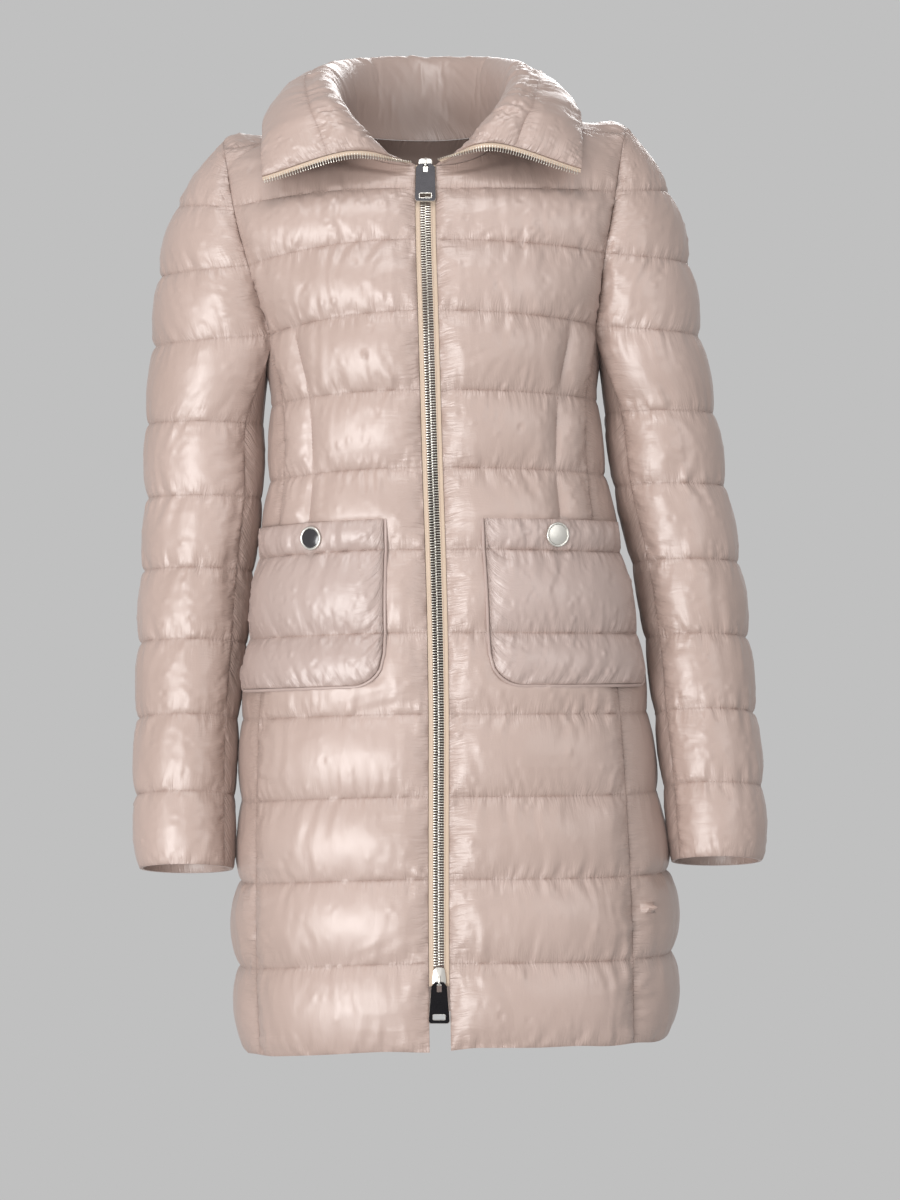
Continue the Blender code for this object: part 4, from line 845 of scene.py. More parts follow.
def add_quilt(patch, moved, finish, back_loft=BACK_LOFT):
    """The finished piece: the swollen fabric made finer, small puckers along its seams, its back."""
    change = moved - patch.start
    swell = blurred(np.linalg.norm(change, axis=-1, keepdims=True), SWELL_BLURS)
    change *= np.minimum(1, patch.height * MOVE_SHARE / np.maximum(swell, 1e-9))
    change *= np.minimum(1, patch.share * SWELL_ROOM)[..., None]
    rows, columns = patch.sewn.all(axis=1), patch.sewn.all(axis=0)
    shown = halve_both(patch.start + change, rows, columns)
    normals = unit(halve_both(patch.normals, rows, columns))
    loft = halve_both(patch.share, rows, columns)
    up, aside = (halve_both(part, rows, columns) for part in patch.to_seams())
    across = halve_both(distance_along(patch.grid, 1), rows, columns)
    along = halve_both(distance_along(patch.grid, 0), rows, columns)
    seed = SEED + sum(map(ord, patch.name))
    fade = (1 - np.exp(-np.minimum(up, aside) / PUCKER_FADE)) * np.sqrt(np.clip(loft, 0, 1))
    lift = fade * (puckers(across, along, up, seed) + puckers(along, across, aside, seed + 7))
    shown = shown + normals * lift[..., None]
    hidden = patch.base - patch.normals * (SEAM_WALL / 2 + back_loft * patch.arch * patch.share)[..., None]
    points = np.concatenate([shown.reshape(-1, 3), hidden.reshape(-1, 3)])
    cut = np.stack([across, along], axis=-1)
    cut = np.concatenate([cut.reshape(-1, 2), cut[::2, ::2].reshape(-1, 2)])
    close = {}
    for key, distance in (("row seam", up), ("side seam", aside)):
        near = np.exp(-distance / SEAM_REACH)
        close[key] = np.concatenate([near.ravel(), near[::2, ::2].ravel()])
    faces = wall_faces(*shown.shape[:2], patch.outward)
    quilt = mesh_object(patch.name + "_quilt", points, faces, finish, cut, close)
    patch.shown = shown
    patch.shown_normals = normals
    return quilt


# ---- thread, cord and strips --------------------------------------------------------------------
STITCH_PITCH = 0.0034
STITCH_LENGTH = 0.0024
THREAD_RADIUS = 0.00022
STITCH_RISE, STITCH_SINK = 0.0003, 0.0001    # of its middle and of its ends


def even_path(points, pitch):
    """Points every pitch along a line, with the fractional numbers that they have on it."""
    along = np.concatenate([[0.0], np.cumsum(np.linalg.norm(np.diff(points, axis=0), axis=1))])
    places = np.arange(pitch / 2, along[-1] - pitch / 2, pitch)
    return np.interp(places, along, np.arange(len(points)))


def read(line, at):
    """A line of points or vectors read at fractional numbers."""
    at = np.asarray(at)
    low = np.clip(np.floor(at).astype(int), 0, len(line) - 2)
    share = (at - low)[..., None]
    return line[low] * (1 - share) + line[low + 1] * share


def tube(path, across, upward, radius, sides=10):
    """Closed tube: a circle of the given radius carried along a path, a fan over each end."""
    turn = np.arange(sides) * 2 * math.pi / sides
    circle = np.cos(turn)[:, None] * across[:, None] + np.sin(turn)[:, None] * upward[:, None]
    rings = path[:, None] + np.reshape(radius, (-1, 1, 1)) * circle
    number = np.arange(len(path) * sides).reshape(-1, sides)
    following = np.roll(number, -1, axis=1)
    quads = np.stack([number[:-1], following[:-1], following[1:], number[1:]], axis=-1).reshape(-1, 4)
    points = np.concatenate([rings.reshape(-1, 3), path[[0, -1]]])
    first, last = len(points) - 2, len(points) - 1
    fan = np.stack([following[0], number[0], np.full(sides, first)], axis=-1)
    cap = np.stack([number[-1], following[-1], np.full(sides, last)], axis=-1)
    return points, [quads, np.concatenate([fan, cap])]


def outward(points, faces):
    """The faces turned so that a closed mesh has its volume inside."""
    volume = 0.0
    for part in faces:
        first = points[part[:, 0]]
        for k in range(1, part.shape[1] - 1):
            volume += np.sum(np.cross(first, points[part[:, k]]) * points[part[:, k + 1]])
    return faces if volume > 0 else [part[:, ::-1] for part in faces]


def join(meshes):
    """Several (points, faces) meshes as one."""
    points, quads, triangles, first = [], [], [], 0
    for part_points, part_faces in meshes:
        points.append(part_points)
        for faces in part_faces:
            (quads if faces.shape[1] == 4 else triangles).append(faces + first)
        first += len(part_points)
    return np.concatenate(points), [np.concatenate(kind) for kind in (quads, triangles) if kind]


def repeat(points, faces, frames, places):
    """A small mesh repeated at many places: frames holds the three directions of each copy."""
    copies = np.einsum("pk,nkj->npj", points, frames) + places[:, None]
    offsets = (np.arange(len(places)) * len(points))[:, None, None]
    return copies.reshape(-1, 3), [(part[None] + offsets).reshape(-1, part.shape[1]) for part in faces]


def stitch_shape():
    """One stitch: a thread that rises out of the cloth, lies along it and dips again."""
    share = np.linspace(0, 1, 3)
    height = STITCH_RISE * np.sin(math.pi * share) - STITCH_SINK
    path = np.stack([(share - 0.5) * STITCH_LENGTH, 0 * share, height], axis=1)
    sides = np.tile((0.0, 1.0, 0.0), (3, 1))
    return tube(path, sides, np.tile((0.0, 0.0, 1.0), (3, 1)), THREAD_RADIUS, sides=3)


def stitches(lines):
    """A row of stitches on each (points, normals) line, as one mesh."""
    shape, faces = stitch_shape()
    rows = []
    for points, normals in lines:
        at = even_path(points, STITCH_PITCH)
        if len(at) < 2:
            continue
        ahead = unit(read(points, at + 0.3) - read(points, at - 0.3))
        up = read(normals, at)
        up = unit(up - ahead * np.sum(up * ahead, axis=1, keepdims=True))
        frames = np.stack([ahead, np.cross(up, ahead), up], axis=1)
        rows.append(repeat(shape, faces, frames, read(points, at)))
    return join(rows)


def seam_lines(patch):
    """The stitched lines that show on a piece: its quilting rows and its shaping seam."""
    surface = patch.base + patch.normals * (SEAM_WALL / 2)
    inside = [row for row in np.flatnonzero(patch.sewn.all(axis=1)) if 0 < row < len(surface) - 1]
    lines = [(surface[row], patch.normals[row]) for row in inside]
    for column in np.flatnonzero(patch.sewn.sum(axis=0) > patch.sewn[:, 1].sum() + 5)[1:-1]:
        rows = np.flatnonzero(patch.sewn[:, column])
        rows = rows[(patch.numbers[rows] > POCKET_ROWS[1]) & (patch.numbers[rows] < BUST_ROW)]
        lines.append((patch.start[rows, column], patch.normals[rows, column]))
    return lines


# ---- pockets ------------------------------------------------------------------------------------
POCKET_WALL = 0.0026
POCKET_LOFT = 0.0040
POCKET_STEP = 0.0034
POCKET_CORNERS = (0.027, 0.012)      # radius of the lower corner near the zip and near the side
POCKET_SIDE_SHARE = 0.22             # how far the pocket reaches onto the side panel
PIPING_RADIUS = 0.0015
PRESSED = 0.0045                     # rise of the down behind the pocket
POCKET_LINES = (13, 19, 8)           # lines of fabric in its lower, middle and upper part
POCKET_GATHER = GATHER * 0.8
PIPING_LIFT = 0.0004                 # of the cord over the pocket's middle surface


def slide(grid, at):
    """Each column of a grid read at its own fractional row numbers."""
    low = np.clip(np.floor(at).astype(int), 0, len(grid) - 2)
    share = (at - low)[..., None]
    column = np.arange(grid.shape[1])[None]
    return grid[low, column] * (1 - share) + grid[low + 1, column] * share


SNAP_PRESS, SNAP_REACH = 0.75, 0.016    # share of loft that a snap presses flat, and how far out


def pocket_patch(side):
    """A patch over the front and the side panel, its two lower corners drawn up to arcs."""
    shares = stops((POCKET_SHARE, 1.0), FRONT_WIDTH, POCKET_STEP)
    beyond = stops((0.0, POCKET_SIDE_SHARE), FLANK_WIDTH, POCKET_STEP)[1:]
    bottom, top = POCKET_ROWS
    lower, middle, upper = POCKET_LINES
    numbers = np.concatenate([np.linspace(bottom, 5, lower)[:-1], np.linspace(5, 6, middle)[:-1],
                              np.linspace(6, top, upper)])
    grid = np.concatenate([through(front_net(side, shares), numbers),
                           through(side_net(side, beyond), numbers)], axis=1)
    normals = surface_normals(grid) * SIDES[side]
    pressed = PRESSED * np.abs(np.sin(math.pi * numbers)) ** BAFFLE_ROUNDNESS
    rise = SEAM_WALL / 2 + pressed + SEAM_GAP + POCKET_WALL / 2
    grid = grid + normals * rise[:, None, None]
    across = distance_along(grid, 1)[0]
    height = distance_along(grid, 0)
    lift = np.zeros(len(across))
    for radius, distance in zip(POCKET_CORNERS, (across, across[-1] - across)):
        near = np.clip(radius - distance, 0, radius)
        lift += radius - np.sqrt(radius ** 2 - near ** 2)
    band = np.searchsorted(numbers, 5)
    raised = height + lift * np.clip(1 - height / height[band], 0, 1)
    at = np.stack([np.interp(raised[:, k], height[:, k], np.arange(len(grid))) for k in range(len(across))],
                  axis=1)
    patch = Patch("pocket_" + side, slide(grid, at), numbers, SIDES[side], POCKET_GATHER, 1.0, POCKET_LOFT)
    low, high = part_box("button_" + side)
    away = np.linalg.norm(patch.grid - np.array((low + high) / 2), axis=-1)
    patch.share *= 1 - SNAP_PRESS * np.exp(-(away / SNAP_REACH) ** 2)
    return patch


def pocket_piping(patch):
    """The corded piping down one side of a pocket, round its corners and up the other."""
    rim = np.concatenate([patch.base[:0:-1, 0], patch.base[0], patch.base[1:, -1]])
    normals = np.concatenate([patch.normals[:0:-1, 0], patch.normals[0], patch.normals[1:, -1]])
    tangent = unit(np.gradient(rim, axis=0))
    away = unit(np.cross(tangent, normals))
    away *= np.sign(np.sum(away * (rim - patch.base.mean(axis=(0, 1))), axis=1, keepdims=True))
    path = rim + away * (PIPING_RADIUS + SEAM_GAP) + normals * PIPING_LIFT
    return tube(path, away, np.cross(away, tangent), PIPING_RADIUS), rim, normals


# ---- snap buttons -------------------------------------------------------------------------------
BUTTON_RADIUS = {"right": 0.0107, "left": 0.0112}
SEAT_POINTS = 60           # points of the pocket that a button's seat is averaged over


def turned(profile, centre, axis, sides=48):
    """Surface turned about an axis from (radius, height) points, closed by a point at each end."""
    axis = unit(np.asarray(axis, float))
    first = unit(np.cross(axis, (0.0, 0.0, 1.0)))
    second = np.cross(axis, first)
    profile = np.array(profile, float)
    turn = np.arange(sides) * 2 * math.pi / sides
    spokes = np.cos(turn)[:, None] * first + np.sin(turn)[:, None] * second
    rings = profile[1:-1, 0, None, None] * spokes + profile[1:-1, 1, None, None] * axis
    points = np.concatenate([rings.reshape(-1, 3), profile[[0, -1], 1, None] * axis]) + centre
    number = np.arange(rings.shape[0] * sides).reshape(-1, sides)
    following = np.roll(number, -1, axis=1)
    quads = np.stack([number[:-1], following[:-1], following[1:], number[1:]], axis=-1).reshape(-1, 4)
    bottom, top = len(points) - 2, len(points) - 1
    fans = np.concatenate([np.stack([following[0], number[0], np.full(sides, bottom)], axis=-1),
                           np.stack([number[-1], following[-1], np.full(sides, top)], axis=-1)])
    return points, outward(points, [quads, fans])


def button_meshes(radius, centre, axis):
    """The metal cap with its rolled rim and stem, and the inlaid domed face, as two meshes."""
    back, face = 0.0012, 0.80 * radius
    turn = np.linspace(-0.5, 0.5, 9) * math.pi
    rim = [(radius - 0.0011 + 0.0011 * math.cos(a), back + 0.0011 + 0.0011 * math.sin(a)) for a in turn]
    cap = [(0, -0.0008), (0.0036, -0.0008), (0.0040, back), (radius * 0.9, back)] + rim
    cap += [(face + 0.0004, back + 0.0020), (face, back + 0.0014), (0, back + 0.0014)]
    share = np.linspace(1, 0, 9)
    dome = [(0, back + 0.0013), (face - 0.0001, back + 0.0014)]
    dome += [((face - 0.0001) * s, back + 0.0017 + 0.0008 * (1 - s ** 2)) for s in share[:-1]]
    dome += [(0, back + 0.0025)]
    return turned(cap, centre, axis), turned(dome, centre, axis)


# ---- zip ----------------------------------------------------------------------------------------
TAPE_WALL = 0.0011
TAPE_INNER = 0.0046        # from the middle of the zip to a tape's inner edge
TAPE_START = 0.70          # row number where the tapes end above the hem
CHAIN_ENDS = (-0.7500, -0.0455)
CHAIN_STEPS = 400
TOOTH_PITCH = 0.0024       # between two teeth of one side
TOOTH_HALF_WIDTH = 0.0026
TOOTH_OUT = 0.0020         # from the middle of the zip to the middle of a tooth
TOOTH_HALF_HEIGHT = 0.00052
TOOTH_HALF_DEPTH = 0.0012
COLLAR_TAPE = 0.0042       # width of the tape along the collar, without its teeth
COLLAR_TAPE_GAP = 0.0004   # from the collar's edge to the tape
COLLAR_TEETH_OUT = 0.0010  # from the tape's edge to the middle of its teeth


def tooth_shape():
    """One metal tooth: a bar with rounded front and back, a waist, and a bead at its head."""
    along = np.array([-1.0, -0.55, -0.1, 0.35, 0.62, 1.0]) * TOOTH_HALF_WIDTH
    deep = np.array([0.80, 1.0, 1.0, 0.86, 0.95, 0.70]) * TOOTH_HALF_DEPTH
    tall = np.array([0.90, 1.0, 0.80, 0.62, 1.05, 0.70]) * TOOTH_HALF_HEIGHT
    turn = (np.arange(8) + 0.5) * math.pi / 4
    ring = np.stack([np.sign(np.cos(turn)) * np.abs(np.cos(turn)) ** 0.7,
                     np.sign(np.sin(turn)) * np.abs(np.sin(turn)) ** 0.7], axis=1)
    rings = np.stack([np.broadcast_to(along[:, None], (6, 8)), tall[:, None] * ring[:, 0],
                      deep[:, None] * ring[:, 1]], axis=-1)
    number = np.arange(48).reshape(6, 8)
    following = np.roll(number, -1, axis=1)
    quads = np.stack([number[:-1], following[:-1], following[1:], number[1:]], axis=-1).reshape(-1, 4)
    ends = np.array([[0, 1, 2, 3], [0, 3, 4, 7], [4, 5, 6, 7]])
    points = rings.reshape(-1, 3)
    return points, outward(points, [np.concatenate([quads, ends[:, ::-1], ends + 40])])


def teeth(line, ahead_normals, towards):
    """Teeth along a line of a tape's edge, their heads pointing towards the other tape."""
    shape, faces = tooth_shape()
    at = even_path(line, TOOTH_PITCH)
    ahead = unit(read(line, at + 0.3) - read(line, at - 0.3))
    up = read(ahead_normals, at)
    up = unit(up - ahead * np.sum(up * ahead, axis=1, keepdims=True))
    head = np.cross(up, ahead)
    head *= np.sign(np.sum(head * read(towards, at), axis=1, keepdims=True))
    return repeat(shape, faces, np.stack([head, ahead, up], axis=1), read(line, at))


def tape_strip(first, last, normals, bead=0.0005):
    """A woven tape between two lines: flat, with a bead along its second edge, closed."""
    share = np.linspace(0, 1, 7)
    flat = TAPE_WALL / 2 * np.array([0.5, 1, 0.8, 0.8, 0.8, 1.0, 0.6])
    thick = flat + bead * np.array([0, 0, 0, 0, 0.1, 1, 0.3])
    grid = first[:, None] * (1 - share)[:, None] + last[:, None] * share[:, None]
    lift = normals[:, None] * thick[None, :, None]
    rows, columns = grid.shape[:2]
    points = np.concatenate([(grid + lift).reshape(-1, 3), (grid - lift).reshape(-1, 3)])
    front = patch_quads(rows, columns, 1)
    number = np.arange(rows * columns).reshape(rows, columns)
    rim = np.concatenate([number[0, :-1], number[:-1, -1], number[-1, :0:-1], number[:0:-1, 0]])
    after = np.roll(rim, -1)
    sides = np.stack([after, rim, rim + rows * columns, after + rows * columns], axis=1)
    cut = np.stack([np.broadcast_to(distance_along(grid, 1).mean(axis=0), (rows, columns)),
                    distance_along(grid, 0)], axis=-1).reshape(-1, 2)
    faces = outward(points, [np.concatenate([front, front[:, ::-1] + rows * columns, sides])])
    return points, faces, np.tile(cut, (2, 1))


def zip_line(patches):
    """Middle line of the zip from hem to throat, and its normals."""
    right, left = patches["front_right"], patches["front_left"]
    normals = unit((right.normals[:, 0] + left.normals[:, 0]) * (0, 1, 1))
    return (right.grid[:, 0] + left.grid[:, 0]) / 2, normals


def place_on_zip(centre, z):
    """Point of the zip's line at a level, and the lean of the line there."""
    level = centre[:, 2]
    point, above, below = (np.array([np.interp(h, level, centre[:, k]) for k in range(3)])
                           for h in (z, min(z + 0.01, level[-1]), z - 0.01))
    slope = above - below
    if z > level[-1]:
        point = point + unit(slope) * (z - level[-1])
    return point, -math.atan2(slope[1], slope[2])


def leaned(points, origin, lean):
    """Points turned about the x axis by the lean of the zip and moved to their origin."""
    cosine, sine = math.cos(lean), math.sin(lean)
    turn = np.array([[1, 0, 0], [0, cosine, sine], [0, -sine, cosine]])
    return points @ turn + origin


# ---- sliders and pulls --------------------------------------------------------------------------
PLATE_FRONT, PLATE_BACK, PLATE_GAP = 0.0013, 0.0011, 0.0004
BAIL_OPENING, BAIL_WALL = 0.0022, 0.0010
BAIL_HALF_INSIDE = 0.0034
BAR_HALF, BAR_DROP = 0.00075, 0.0023
PULL_HALF_X = 0.0093
PULL_LENGTH = {"top": 0.0380, "bottom": 0.0355}
PULL_TOP_HALF_X = {"top": 0.0086, "bottom": 0.0070}
SLIDERS = {
    "top": {"z": -0.0375, "low": -0.0075, "high": 0.0075, "bail": 0.0030, "wide": 1},
    "bottom": {"z": -0.7580, "low": -0.0085, "high": 0.0075, "bail": -0.0038, "wide": -1},
}


def slab(outline, near, far, round_over):
    """A plate between two depths with rounded edges: its outline drawn in at the front and back."""
    middle = outline.mean(axis=0)
    reach = np.abs(outline - middle).max()
    turn = np.linspace(0, math.pi / 2, 4)
    inset = np.concatenate([1 - np.sin(turn), (1 - np.sin(turn))[::-1]]) * round_over / reach
    rise = round_over * (1 - np.cos(turn))
    depth = np.concatenate([near + rise, far - rise[::-1]])
    rings = middle + (outline - middle) * (1 - inset)[:, None, None]
    level = np.broadcast_to(depth[:, None], rings.shape[:2])
    points = np.stack([rings[..., 0], level, rings[..., 1]], axis=-1)
    count = len(outline)
    centres = [[middle[0], near, middle[1]], [middle[0], far, middle[1]]]
    points = np.concatenate([points.reshape(-1, 3), centres])
    number = np.arange(len(inset) * count).reshape(-1, count)
    following = np.roll(number, -1, axis=1)
    quads = np.stack([number[:-1], following[:-1], following[1:], number[1:]], axis=-1).reshape(-1, 4)
    fans = np.concatenate([np.stack([following[0], number[0], np.full(count, len(points) - 2)], axis=-1),
                           np.stack([number[-1], following[-1], np.full(count, len(points) - 1)], axis=-1)])
    return points, outward(points, [quads, fans])


def shield(half_top, half_bottom, low, high, power=4.0, count=48):
    """Outline of a slider plate: a rounded square, its half width changing from bottom to top."""
    turn = np.arange(count) * 2 * math.pi / count
    sine, cosine = rounded(turn, power)
    z = (low + high) / 2 + (high - low) / 2 * cosine
    half = half_bottom + (half_top - half_bottom) * ease(low, high, z)
    return np.stack([half * sine, z], axis=1)


def slider_mesh(size):
    """A slider: two plates joined by a web, ears at its wide end, and the bail on the front."""
    near = -(TAPE_WALL / 2 + PLATE_GAP)
    front = near - PLATE_FRONT
    low, high = size["low"], size["high"]
    tops = (0.0065, 0.0052) if size["wide"] > 0 else (0.0052, 0.0065)
    plate = shield(*tops, low, high)
    parts = [slab(plate, front, near, 0.0004), slab(plate, -near, -near + PLATE_BACK, 0.0004),
             slab(shield(0.0018, 0.0018, low * 0.7, high * 0.7, 3.0), near - 0.0003, -near + 0.0003, 0.0002)]
    turn = np.linspace(0, math.pi, 13)
    outside = BAIL_OPENING + BAIL_WALL / 2
    arch = np.stack([0 * turn, front + 0.0003 - outside * np.sin(turn) ** 0.6,
                     size["bail"] - (BAIL_HALF_INSIDE + BAIL_WALL / 2) * np.cos(turn)], axis=1)
    ahead = unit(np.gradient(arch, axis=0))
    across = np.tile((1.0, 0.0, 0.0), (len(arch), 1))
    bail = tube(arch, across * 1.9, np.cross(ahead, across), BAIL_WALL / 2, sides=12)
    parts.append((bail[0], outward(*bail)))
    return join(parts)


def pull_outline(name):
    """Outline of a pull and its two openings, in (x, z) from its bar: a keyhole and a window."""
    length, shoulder = PULL_LENGTH[name], PULL_TOP_HALF_X[name]
    half = [(shoulder * 0.55, BAR_HALF), (shoulder, -0.003), (PULL_HALF_X, -length + 0.002),
            (PULL_HALF_X - 0.0015, -length)]
    slot = [(0.0012, -BAR_HALF), (0.0021, -BAR_HALF - 0.0006), (0.0021, -0.0074), (0.0014, -0.0080)]
    window = [(0.0055, -length + 0.0080), (0.0055, -length + 0.0030)]
    return [side + [(-x, z) for x, z in side[::-1]] for side in (half, slot, window)]


def flat_metal(name, outlines, half_depth, round_over):
    """A plate with openings, cut by flat curves and given rounded edges, as a mesh."""
    curve = bpy.data.curves.new(name, "CURVE")
    curve.dimensions, curve.fill_mode = "2D", "BOTH"
    curve.extrude, curve.bevel_depth, curve.bevel_resolution = half_depth - round_over, round_over, 2
    curve.offset = -round_over
    for outline in outlines:
        spline = curve.splines.new("POLY")
        spline.points.add(len(outline) - 1)
        spline.points.foreach_set("co", np.array([(x, z, 0, 1) for x, z in outline], float).ravel())
        spline.use_cyclic_u = True
    draft = bpy.data.objects.new(name, curve)
    bpy.context.scene.collection.objects.link(draft)
    mesh = bpy.data.meshes.new_from_object(draft)
    bpy.data.objects.remove(draft)
    flat = np.empty(len(mesh.vertices) * 3)
    mesh.vertices.foreach_get("co", flat)
    flat = flat.reshape(-1, 3)[:, [0, 2, 1]] * (1, -1, 1)
    return mesh, flat


# ---- finishes -----------------------------------------------------------------------------------
class Value:
    """A shader socket that takes part in Python sums; numbers stay numbers."""

    def __init__(self, finish, socket):
        """The finish that it belongs to, and its node's socket."""
        self.finish = finish
        self.socket = socket

    def maths(self, kind, first, second=None):
        """One maths node of a kind on one or two values."""
        return self.finish.node("ShaderNodeMath", {"operation": kind}, first, second)

    def __add__(self, other):
        """This value plus the other."""
        return self.maths("ADD", self, other)

    def __sub__(self, other):
        """This value less the other."""
        return self.maths("SUBTRACT", self, other)

    def __rsub__(self, other):
        """The other value less this one."""
        return self.maths("SUBTRACT", other, self)

    def __mul__(self, other):
        """This value times the other."""
        return self.maths("MULTIPLY", self, other)

    def __pow__(self, other):
        """This value to the power of the other."""
        return self.maths("POWER", self, other)

    def sine(self):
        """The sine of this value in radians."""
        return self.maths("SINE", self)

    def highest(self, other):
        """The greater of this value and the other."""
        return self.maths("MAXIMUM", self, other)

    __radd__, __rmul__ = __add__, __mul__


class Finish:
    """A material with one Principled shader, and short ways to make its nodes."""

    def __init__(self, name, **constants):
        """A new material by name, with constants for the shader's sockets."""
        self.material = bpy.data.materials.new(name)
        self.material.use_nodes = True
        self.nodes = self.material.node_tree.nodes
        self.links = self.material.node_tree.links
        self.shader = self.nodes["Principled BSDF"]
        for socket, value in constants.items():
            self.set(socket.replace("_", " "), value)

    def set(self, socket, value):
        """Give a shader socket a number, a colour or a link."""
        self.put(self.shader.inputs[socket], value)

    def put(self, socket, value):
        """Link a value to any socket, or set it as a constant."""
        if isinstance(value, Value):
            self.links.new(value.socket, socket)
        elif isinstance(value, tuple) and len(value) == 3 and socket.type == "RGBA":
            socket.default_value = (*value, 1.0)
        elif value is not None:
            socket.default_value = value

    def node(self, kind, settings=None, *inputs, out=0, **named_inputs):
        """One node: its settings first, then its inputs by order or by name; returns an output."""
        made = self.nodes.new(kind)
        for key, value in (settings or {}).items():
            setattr(made, key, value)
        for socket, value in zip(made.inputs, inputs):
            self.put(socket, value)
        for key, value in named_inputs.items():
            self.put(made.inputs[key], value)
        return Value(self, made.outputs[out])

    def place(self):
        """Position in the piece's own coordinates, in metres."""
        return self.node("ShaderNodeTexCoord", out="Object")

    def cut(self):
        """Position on the flat cut piece: across it and along it, in metres."""
        return self.node("ShaderNodeUVMap", {"uv_map": "cut"})

    def stretch(self, vector, scale, turn=0.0):
        """A position turned about its third axis and scaled on each axis."""
        return self.node("ShaderNodeMapping", None, vector, Scale=scale, Rotation=(0.0, 0.0, turn))

    def noise(self, vector, scale, detail=2.0):
        """Noise from 0 to 1 at a position, with a number of cells a metre."""
        return self.node("ShaderNodeTexNoise", None, Vector=vector, Scale=scale, Detail=detail)

    def ridges(self, noise):
        """Noise folded at its middle, so that it has crisp ridges: one less the distance from it."""
        return 1 - self.node("ShaderNodeMath", {"operation": "ABSOLUTE"}, noise * 4.0 - 2.0)

    def ramp(self, value, low, high):
        """0 below low, 1 above high, and a smooth step between them."""
        return self.node("ShaderNodeMapRange", {"interpolation_type": "SMOOTHSTEP"}, value, low, high)

    def mix(self, factor, first, second):
        """Two colours mixed: the first at a factor of 0, the second at 1."""
        made = self.nodes.new("ShaderNodeMix")
        made.data_type = "RGBA"
        for socket, value in ((0, factor), (6, first), (7, second)):
            self.put(made.inputs[socket], value)
        return Value(self, made.outputs[2])

    def bump(self, height, strength, distance):
        """Give the shader a bump of a height, by its strength and its distance in metres."""
        self.set("Normal", self.node("ShaderNodeBump", None, Height=height, Strength=strength,
                                     Distance=distance))


CLOTH = (0.405, 0.303, 0.265)
CLOTH_DEEP = (0.330, 0.236, 0.198)
# Painted shade: the colour the cloth is darkened to along its seams, standing in for the shadow line under
# each baffle; also the darker strands of the sewing thread.
SEAM_SHADE_AND_THREAD_STRAND = (0.290, 0.200, 0.168)
POCKET_CLOTH = (0.395, 0.303, 0.273)
POCKET_DEEP = (0.335, 0.249, 0.220)
TAPE = (0.560, 0.440, 0.340)
TAPE_DEEP = (0.450, 0.345, 0.260)
THREAD = (0.520, 0.390, 0.335)
TOOTH_METAL = (0.90, 0.86, 0.78)
SLIDER_METAL = (0.78, 0.75, 0.70)
GUNMETAL = (0.016, 0.015, 0.017)
ENAMEL = (0.010, 0.009, 0.011)
PALE_SILVER = (0.74, 0.72, 0.67)


def satin_nylon(name, colour, deep, seam_shade_colour):
    """Satin taffeta: a soft gloss, clouds of tone, painted shade along every seam, fine crisp creases drawn
    up by every seam.
    """
    finish = Finish(name, Specular_IOR_Level=1.0, Sheen_Weight=0.10, Sheen_Roughness=0.35)
    cut, place = finish.cut(), finish.place()
    rows, sides = (finish.node("ShaderNodeAttribute", {"attribute_name": key}, out="Fac")
                   for key in ("row seam", "side seam"))
    cloudy = finish.ramp(finish.noise(place, 7.0, 3.0), 0.30, 0.70)
    tone = finish.mix(cloudy * 0.5, colour, deep)
    # Painted shade: near each stitched row and side seam the cloth's colour is mixed towards the seam shade
    # colour.
    finish.set("Base Color", finish.mix(rows.highest(sides) ** 1.6 * 0.60, tone, seam_shade_colour))
    fine = finish.noise(place, 95.0, 2.0)
    finish.set("Roughness", 0.38 + fine * 0.09 + rows * 0.08)
    warp = finish.noise(place, 34.0, 2.0) * 0.010
    bent = finish.node("ShaderNodeVectorMath", {"operation": "ADD"}, cut, warp)
    upright = finish.ridges(finish.noise(finish.stretch(bent, (230.0, 30.0, 1.0)), 1.0, 3.0))
    level = finish.ridges(finish.noise(finish.stretch(bent, (30.0, 230.0, 1.0)), 1.0, 3.0))
    slanted = finish.ridges(finish.noise(finish.stretch(bent, (75.0, 20.0, 1.0), 0.5), 1.0, 3.0))
    weave = finish.noise(finish.stretch(cut, (2600.0, 2600.0, 1.0)), 1.0, 0.0)
    height = upright * rows ** 0.34 * 0.60 + level * sides ** 0.20 * 0.80 + slanted * 0.12 + weave * 0.02
    finish.bump(height, 0.9, 0.0011)
    return finish.material


def corded_piping():
    """The same nylon wound round a cord: clouds of tone and a fine uneven grain."""
    finish = Finish("piping nylon", Specular_IOR_Level=0.55, Sheen_Weight=0.1)
    place = finish.place()
    tone = finish.noise(place, 60.0, 2.0)
    finish.set("Base Color", finish.mix(tone, POCKET_CLOTH, POCKET_DEEP))
    finish.set("Roughness", 0.36 + tone * 0.12)
    finish.bump(finish.noise(place, 520.0, 2.0), 0.35, 0.0005)
    return finish.material


def sewing_thread():
    """Twisted polyester thread."""
    finish = Finish("sewing thread", Sheen_Weight=0.2)
    strand = finish.noise(finish.place(), 900.0, 1.0)
    finish.set("Base Color", finish.mix(strand, THREAD, SEAM_SHADE_AND_THREAD_STRAND))
    finish.set("Roughness", 0.55 + strand * 0.15)
    finish.bump(strand, 0.3, 0.0003)
    return finish.material


def woven_tape():
    """Zip tape: a twill of fine ribs across a warmer, duller cotton-like ground."""
    finish = Finish("zip tape", Sheen_Weight=0.15)
    cut = finish.cut()
    split = finish.nodes.new("ShaderNodeSeparateXYZ")
    finish.put(split.inputs[0], cut)
    across, along = Value(finish, split.outputs[0]), Value(finish, split.outputs[1])
    twill = ((along + across * 0.8) * (2 * math.pi / 0.0009)).sine() * 0.5 + 0.5
    ribs = (across * (2 * math.pi / 0.0011)).sine() * 0.5 + 0.5
    worn = finish.noise(finish.place(), 45.0, 3.0)
    finish.set("Base Color", finish.mix(twill * 0.45 + worn * 0.35, TAPE, TAPE_DEEP))
    finish.set("Roughness", 0.72 + worn * 0.12)
    finish.bump(twill * 0.6 + ribs * 0.5, 0.6, 0.0003)
    return finish.material


